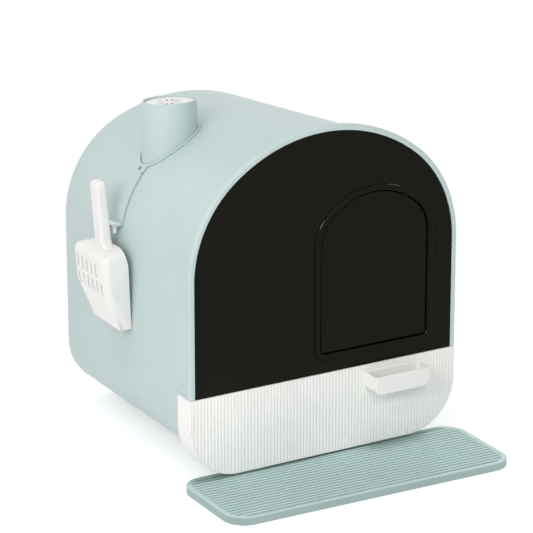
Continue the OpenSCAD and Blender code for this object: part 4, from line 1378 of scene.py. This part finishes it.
class LITTERBOX_OT_hanger(bpy.types.Operator):
    """Models the strap that follows the hood and the slotted shelf for the scoop"""
    bl_idname = "litterbox.hanger"
    bl_label = "Scoop Hanger"

    def execute(self, context):
        scoop = context.scene.litterbox_scoop
        undercut = scoop.strap_undercut
        strap = joined(strap_layer(undercut, GAP, undercut + GAP, context),
                       strap_layer(0, undercut, scoop.strap_thickness - undercut, context))

        half = scoop.strap_width / 2
        shelf = box("shelf", (-scoop.shelf_reach, -half, -scoop.shelf_thickness), (scoop.shelf_root, half, 0))
        slot_x, slot_half = scoop.slot_depth / 2, scoop.slot_width / 2
        combine(shelf, box("slot", (-scoop.slot_out - slot_x, -slot_half, -BEYOND),
                           (-scoop.slot_out + slot_x, slot_half, BEYOND)))
        softened(shelf, 0.5 * MM, segments=3)
        nub = ball(scoop.nub_radius, (-scoop.strap_thickness, -half + scoop.nub_radius / 2, 0))
        on_wall = [shelf, shelf_fillet(scoop), nub]
        for piece in on_wall:
            at_wall(piece, scoop)
        stands_for(joined(strap, *on_wall), "scoop_hanger")
        return {"FINISHED"}


def basin_form(scoop, inset, rim, lip):
    """The basin as a solid, drawn in by `inset`, open side at x = -rim, down to -lip."""
    half = scoop.width / 2 - inset
    corner = scoop.edge - inset
    plate = scoop.rim_out + scoop.depth - inset
    lip_plate = scoop.rim_out + scoop.lip_depth - inset
    top = -scoop.drop - inset
    shoulder, shoulder_z = scoop.shoulder, top - scoop.shoulder
    seeds = []
    for side in (1, -1):
        for z in (top - corner - scoop.edge_drop, top - scoop.back):
            seeds.append(ball(corner, (corner - plate, side * (half - corner), z)))
        y = side * (half - shoulder)
        seeds.append(rod("shoulder", shoulder, (-rim - OVERLAP, y, shoulder_z), (-rim, y, shoulder_z), 96))
        outer = side * (half - scoop.lip_taper)
        inner = outer - side * scoop.lip_size
        seeds.append(box("lip", (-lip_plate, min(inner, outer), -lip),
                         (-rim, max(inner, outer), scoop.lip_size - lip)))
    return hulled("basin", *seeds)


def basin_slits(scoop):
    """Drills for the two rows of slits in the basin's plate."""
    radius, plate = scoop.slit_width / 2, -scoop.rim_out - scoop.depth
    start, end = plate - 1 * MM, plate + BEYOND
    slits = []
    for row in (0, 1):
        top = -scoop.drop - scoop.slit_drop - row * (scoop.slit_length + scoop.slit_gap)
        for i in range(5 + row):
            y = (2.5 - i) * scoop.slit_pitch
            ends = [rod("end", radius, (start, y, z), (end, y, z), 20)
                    for z in (top - radius, top - scoop.slit_length + radius)]
            slits.append(hulled("slit", *ends))
    return joined(*slits)


def handle_corners(scoop, width):
    """Places in X and Y of the handle's four rounded edges."""
    radius = scoop.handle_radius
    return [(-x, side * (width / 2 - radius))
            for x in (scoop.handle_out + radius, scoop.handle_out + scoop.handle_thickness - radius)
            for side in (1, -1)]


def handle_feet(scoop, width, z):
    """Short rods at the handle's four rounded edges, `width` apart outside, that start at height `z`."""
    return [rod("foot", scoop.handle_radius, (x, y, z), (x, y, z + OVERLAP), 40)
            for x, y in handle_corners(scoop, width)]


def scoop_handle(scoop):
    """The handle with the flare of its foot."""
    foot = -scoop.drop - scoop.handle_sunk
    radius = scoop.handle_radius
    balls = [ball(radius, (x, y, scoop.handle_rise - radius))
             for x, y in handle_corners(scoop, scoop.handle_end)]
    handle = hulled("handle", *balls, *handle_feet(scoop, scoop.handle_width, foot))
    spread = 2 * scoop.flare
    combine(handle, hulled("flare", *handle_feet(scoop, scoop.handle_width, foot + spread),
                           *handle_feet(scoop, scoop.handle_width + spread, foot)), "UNION")
    return handle


class LITTERBOX_OT_scoop(bpy.types.Operator):
    """Models the scoop: the basin with its slits, the handle, the tongue and the hook's tail"""
    bl_idname = "litterbox.scoop"
    bl_label = "Scoop"

    def execute(self, context):
        scoop = context.scene.litterbox_scoop
        lip = scoop.drop + scoop.basin_length
        basin = basin_form(scoop, 0, scoop.rim_out, lip)
        combine(basin, basin_form(scoop, scoop.wall, scoop.rim_out - OVERLAP, lip + 2 * scoop.lip_size))
        combine(basin, basin_slits(scoop))
        combine(basin, scoop_handle(scoop), "UNION")
        basin.rotation_euler = (0, -scoop.lean, 0)
        applied(basin, location=False)
        softened(basin, 0.5 * MM, segments=3, angle=32)

        reach = scoop.handle_out + scoop.tongue_sunk
        half, edge_x, low = scoop.tail_width / 2, scoop.tail_thickness / 2, scoop.tongue_low
        tongue = polyline("tongue", [(-reach, -half, low), (edge_x, -half, low),
                                     (edge_x, -half, low + scoop.tongue_end),
                                     (-reach, -half, low + scoop.tongue_root)])
        filled(tongue, scoop.tail_width)
        tail = box("tail", (-edge_x, -half, -scoop.tail_length), (edge_x, half, OVERLAP))
        for piece in (tongue, tail):
            softened(piece, 0.4 * MM)
        piece = joined(basin, tongue, tail)
        at_wall(piece, scoop, -scoop.slot_out)
        stands_for(piece, "scoop")
        return {"FINISHED"}


# ---------------------------------------------------------------- mat

class MatSettings(bpy.types.PropertyGroup):
    """The ribbed mat."""
    x: length("Mat Place X", "Sideways place of the mat", -2)
    y: length("Mat Place Y", "Place of the mat's middle", -265)
    turn: rotation("Turn", "Turn of the mat on the floor", -1.8)
    size_x: length("Length", "Length of the mat", 444)
    size_y: length("Width", "Width of the mat", 159)
    thickness: length("Thickness", "Thickness of the mat", 11)
    corner: length("Corner", "Corner radius of the mat", 32)
    border: length("Border", "Width of the smooth border", 8)
    pitch: length("Rib Pitch", "Pitch of the ribs", 8.1)
    rib_height: length("Rib Height", "Height of the ribs", 2.6)
    rib_width: length("Rib Width", "Width of each rib", 4.9)
    rib_edge: length("Rib Edge", "Radius of the ribs' edges", 0.9)
    rib_drop: length("Rib Drop", "How far the ribs' tops lie below the border", 0.2)
    rib_foot: length("Rib Foot", "Thickness of the sheet that joins the ribs, on the mat's field", 0.1)


def rounded_plate(name, size_x, size_y, corner, low, high):
    """A rounded rectangle about the origin, from z = low to z = high."""
    x, y = size_x / 2 - corner, size_y / 2 - corner
    plate = pen_at(name, (-x, -y - corner, low))
    for run, centre in (((2 * x, 0), (x, -y, 0)), ((0, 2 * y), (x, y, 0)),
                        ((-2 * x, 0), (-x, y, 0)), ((0, -2 * y), (-x, -y, 0))):
        draw(*run)
        sweep(centre, X_TO_Y, 90, 16)
    weld_all()
    fill_all()
    draw(z=high - low)
    to_object()
    outward(plate)
    return plate


def mat_field(mat, low, high):
    """The mat's field inside its smooth border, from z = low to z = high."""
    return rounded_plate("field", mat.size_x - 2 * mat.border, mat.size_y - 2 * mat.border,
                         mat.corner - mat.border, low, high)


def mat_ribs(mat, floor):
    """The ribs as flat bars along the mat with rounded edges, kept to its field."""
    pitch, height, edge = mat.pitch, mat.rib_height, mat.rib_edge
    count = int((mat.size_y - 2 * mat.border) / pitch)
    top = mat.thickness - mat.rib_drop
    gap = (pitch - mat.rib_width) / 2
    end, reach = count * pitch / 2, mat.size_x / 2
    ribs = pen_at("ribs", (-reach, end, top - height))
    draw(y=-gap)
    draw(z=height - edge)
    sweep((0, end - gap - edge, top - edge), Y_TO_Z, 90, 4)
    draw(y=2 * edge - mat.rib_width)
    sweep((0, end - pitch + gap + edge, top - edge), Y_TO_Z, 90, 4)
    draw(z=edge - height)
    draw(y=-gap)
    to_object()
    repeated(ribs, count, (0, -pitch, 0))
    base = floor - mat.rib_height
    under = polyline("under", [(-reach, end, top - height), (-reach, end, base),
                               (-reach, -end, base), (-reach, -end, top - height)])
    to_object()
    ribs = joined(ribs, under)
    to_edit(ribs)
    weld_all()
    fill_all()
    draw(x=2 * reach)
    to_object()
    outward(ribs)
    combine(ribs, mat_field(mat, floor - mat.rib_foot / 2, mat.thickness), "INTERSECT")
    smoothed(ribs, 40)
    return ribs


class LITTERBOX_OT_mat(bpy.types.Operator):
    """Models the mat with its rounded border and the field of ribs"""
    bl_idname = "litterbox.mat"
    bl_label = "Mat"

    def execute(self, context):
        mat = context.scene.litterbox_mat
        floor = mat.thickness - mat.rib_drop - mat.rib_height - mat.rib_foot
        plate = rounded_plate("mat", mat.size_x, mat.size_y, mat.corner, 0, mat.thickness)
        combine(plate, mat_field(mat, floor, mat.thickness + BEYOND))
        softened(plate, 1.0 * MM, segments=4, angle=50)
        piece = joined(plate, mat_ribs(mat, floor))
        piece.rotation_euler = (0, 0, mat.turn)
        piece.location = (mat.x, mat.y, 0)
        applied(piece)
        stands_for(piece, "pedal_mat")
        return {"FINISHED"}


# ---------------------------------------------------------------- stage

SENSOR_WIDTH = 36.0     # of the camera, in millimetres
VIEW_END = 60.0         # the camera sees nothing beyond, in metres


class StageSettings(bpy.types.PropertyGroup):
    """Camera, lamps and floor."""
    camera_place: bpy.props.FloatVectorProperty(
        name="Camera Place", description="Where the camera stands",
        default=(-2.0765, -3.4726, 1.5690), unit="LENGTH")
    camera_look: bpy.props.FloatVectorProperty(
        name="Camera Direction", description="Direction in which the camera looks",
        default=(0.49191, 0.81200, -0.31413), subtype="DIRECTION")
    camera_lens: bpy.props.FloatProperty(
        name="Camera Lens", description="Focal length on a sensor 36 mm wide, in millimetres", default=202.6)
    floor_radius: bpy.props.FloatProperty(
        name="Floor Radius", description="Radius of the round floor", default=14.0, unit="LENGTH")
    floor_colour: bpy.props.FloatVectorProperty(
        name="Floor Colour", description="Colour of the floor",
        default=srgb(246, 246, 246)[:3], subtype="COLOR")
    floor_lift: bpy.props.FloatProperty(
        name="Floor Lift", description="Light that the floor adds where it is seen", default=0.42)
    room_light: bpy.props.FloatProperty(
        name="Room Light", description="Strength of the even light from all round", default=0.48)
    fade_start: bpy.props.FloatProperty(
        name="Fade Start", description="Distance at which the floor starts to fade to white",
        default=0.35, unit="LENGTH")
    fade_end: bpy.props.FloatProperty(
        name="Fade End", description="Distance from which the floor is plain white",
        default=0.8, unit="LENGTH")


def area_lamp(name, place, aim, size, power):
    """A soft square lamp at `place` that shines at `aim`."""
    bpy.ops.object.light_add(type="AREA", location=place)
    lamp = bpy.context.object
    lamp.name = name
    lamp.data.size = size
    lamp.data.energy = power
    lamp.rotation_euler = (Vector(aim) - Vector(place)).to_track_quat("-Z", "Y").to_euler()
    lamp.visible_camera = False
    return lamp


def seen_rays(nodes, links):
    """One for a ray by which the camera sees the surface, straight, mirrored or through glass."""
    path = nodes.new("ShaderNodeLightPath")
    direct = nodes.new("ShaderNodeMath")
    direct.operation = "MAXIMUM"
    seen = nodes.new("ShaderNodeMath")
    seen.operation = "MAXIMUM"
    links.new(path.outputs["Is Camera Ray"], direct.inputs[0])
    links.new(path.outputs["Is Transmission Ray"], direct.inputs[1])
    links.new(direct.outputs[0], seen.inputs[0])
    links.new(path.outputs["Is Glossy Ray"], seen.inputs[1])
    return seen.outputs[0]


def studio_floor(settings):
    """A pale floor that the camera sees as white, save for the shadows near the object."""
    material = bpy.data.materials.new("Studio Floor")
    material.use_nodes = True
    nodes, links = material.node_tree.nodes, material.node_tree.links
    shader, output = nodes["Principled BSDF"], nodes["Material Output"]
    shader.inputs["Base Color"].default_value = (*settings.floor_colour, 1.0)
    shader.inputs["Roughness"].default_value = 0.9
    shader.inputs["Specular IOR Level"].default_value = 0.1
    seen = seen_rays(nodes, links)
    lift = nodes.new("ShaderNodeMath")
    lift.operation = "MULTIPLY"
    lift.inputs[1].default_value = settings.floor_lift
    place = nodes.new("ShaderNodeTexCoord")
    reach = nodes.new("ShaderNodeVectorMath")
    reach.operation = "LENGTH"
    fade = nodes.new("ShaderNodeMapRange")
    fade.interpolation_type = "SMOOTHSTEP"
    fade.inputs["From Min"].default_value = settings.fade_start
    fade.inputs["From Max"].default_value = settings.fade_end
    far = nodes.new("ShaderNodeMath")
    far.operation = "MULTIPLY"
    glow = nodes.new("ShaderNodeEmission")
    both = nodes.new("ShaderNodeMixShader")
    shader.inputs["Emission Color"].default_value = (1, 1, 1, 1)
    links.new(seen, lift.inputs[0])
    links.new(lift.outputs[0], shader.inputs["Emission Strength"])
    links.new(place.outputs["Object"], reach.inputs[0])
    links.new(reach.outputs["Value"], fade.inputs["Value"])
    links.new(fade.outputs["Result"], far.inputs[0])
    links.new(seen, far.inputs[1])
    links.new(far.outputs[0], both.inputs["Fac"])
    links.new(shader.outputs["BSDF"], both.inputs[1])
    links.new(glow.outputs["Emission"], both.inputs[2])
    links.new(both.outputs["Shader"], output.inputs["Surface"])
    return material


def studio_world(settings):
    """An even white room, at its full strength only where it is seen."""
    world = bpy.data.worlds.new("Studio")
    world.use_nodes = True
    nodes, links = world.node_tree.nodes, world.node_tree.links
    background = nodes["Background"]
    background.inputs["Color"].default_value = (1, 1, 1, 1)
    strength = nodes.new("ShaderNodeMapRange")
    strength.inputs["To Min"].default_value = settings.room_light
    strength.inputs["To Max"].default_value = 1.0
    links.new(seen_rays(nodes, links), strength.inputs["Value"])
    links.new(strength.outputs["Result"], background.inputs["Strength"])
    return world


def lit_groups(scene):
    """Collections of the meshes that a lamp may be kept to: the gloss, the drawer, the mat and the rest."""
    groups = {kind: bpy.data.collections.new(kind) for kind in ("gloss", "drawer", "mat", "plain")}
    for shown in scene.objects:
        if shown.type != "MESH":
            continue
        kind = shown.name.split("_")[0]
        if shown.active_material and kind != "drawer":
            kind = shown.active_material.name.split()[0].lower()
        groups.get(kind, groups["plain"]).objects.link(shown)
    return groups


# Each lamp's name, place, size, power and the groups that it lights, none for all.
LAMPS = (
    ("top", (-0.3, 0.3, 2.4), 1.8, 8, ()),
    ("rear", (1.7, 1.9, 1.0), 1.8, 3.5, ()),
    ("key", (-1.6, -0.95, 1.15), 1.0, 13.5, ("gloss", "drawer", "plain")),
    ("front", (0.2, -2.5, 0.55), 1.4, 9.5, ("gloss", "plain")),
    ("slant", (-0.8, -2.2, 1.6), 0.6, 14, ("drawer",)),
    ("over", (0, -0.55, 2.2), 0.5, 18, ("mat",)),
    ("streak", (-1.5, -0.95, 1.3), 0.5, 60, ("gloss",)),
    ("rim", (1.9, -0.4, 1.8), 0.5, 14, ("gloss",)),
)


class LITTERBOX_OT_stage(bpy.types.Operator):
    """Sets up the floor, the lamps, the world and the camera"""
    bl_idname = "litterbox.stage"
    bl_label = "Stage"

    def execute(self, context):
        settings = context.scene.litterbox_stage
        bpy.ops.mesh.primitive_circle_add(vertices=64, radius=settings.floor_radius, fill_type="NGON")
        floor = context.object
        floor.name = "floor"
        floor.data.materials.append(studio_floor(settings))

        middle = (CAD_BOX[0] + CAD_BOX[1]) / 2
        groups = lit_groups(context.scene)
        for name, place, size, power, kinds in LAMPS:
            lamp = area_lamp(name, place, middle, size, power)
            if kinds:
                lit = bpy.data.collections.new(name + " receivers")
                for kind in kinds:
                    lit.children.link(groups[kind])
                lamp.light_linking.receiver_collection = lit

        context.scene.world = studio_world(settings)

        bpy.ops.object.camera_add(location=settings.camera_place)
        camera = context.object
        camera.name = "camera"
        camera.rotation_euler = Vector(settings.camera_look).to_track_quat("-Z", "Y").to_euler()
        camera.data.lens = settings.camera_lens
        camera.data.sensor_width = SENSOR_WIDTH
        camera.data.clip_end = VIEW_END
        context.scene.camera = camera
        context.scene.view_settings.view_transform = "Standard"
        return {"FINISHED"}


class LITTERBOX_OT_carried_over(bpy.types.Operator):
    """Gives every frame node that is still shown the finish of its slot"""
    bl_idname = "litterbox.carried_over"
    bl_label = "Carried-over Nodes"

    def execute(self, context):
        for name, node in frame["nodes"].items():
            if node.hide_render:
                continue
            node.data.materials.clear()
            node.data.materials.append(finish_of(SLOT_OF[name]))
        return {"FINISHED"}


class LITTERBOX_PT_panel(bpy.types.Panel):
    """Lists the steps that build the litter box"""
    bl_idname = "LITTERBOX_PT_panel"
    bl_label = "Litter Box"
    bl_space_type = "VIEW_3D"
    bl_region_type = "UI"
    bl_category = "Litter Box"

    def draw(self, context):
        column = self.layout.column(align=True)
        for step in STEPS:
            column.operator(step.bl_idname)


SETTINGS = {
    "litterbox_body": BodySettings,
    "litterbox_hood": HoodSettings,
    "litterbox_frame": FrameSettings,
    "litterbox_door": DoorSettings,
    "litterbox_drawer": DrawerSettings,
    "litterbox_vent": VentSettings,
    "litterbox_scoop": ScoopSettings,
    "litterbox_mat": MatSettings,
    "litterbox_stage": StageSettings,
}
STEPS = [
    LITTERBOX_OT_hood, LITTERBOX_OT_frame, LITTERBOX_OT_panel_plate, LITTERBOX_OT_flap,
    LITTERBOX_OT_drawer_front, LITTERBOX_OT_pull, LITTERBOX_OT_tray, LITTERBOX_OT_chimney,
    LITTERBOX_OT_cap, LITTERBOX_OT_pad, LITTERBOX_OT_hanger, LITTERBOX_OT_scoop, LITTERBOX_OT_mat,
    LITTERBOX_OT_carried_over, LITTERBOX_OT_stage,
]
CLASSES = [*SETTINGS.values(), *STEPS, LITTERBOX_PT_panel]


def register():
    for cls in CLASSES:
        bpy.utils.register_class(cls)
    for name, group in SETTINGS.items():
        setattr(bpy.types.Scene, name, bpy.props.PointerProperty(type=group))


def unregister():
    for name in SETTINGS:
        delattr(bpy.types.Scene, name)
    for cls in reversed(CLASSES):
        bpy.utils.unregister_class(cls)


def main():
    register()
    bpy.ops.object.select_all(action="DESELECT")
    for step in STEPS:
        group, _, name = step.bl_idname.partition(".")
        getattr(getattr(bpy.ops, group), name)()


if __name__ == "__main__":
    main()
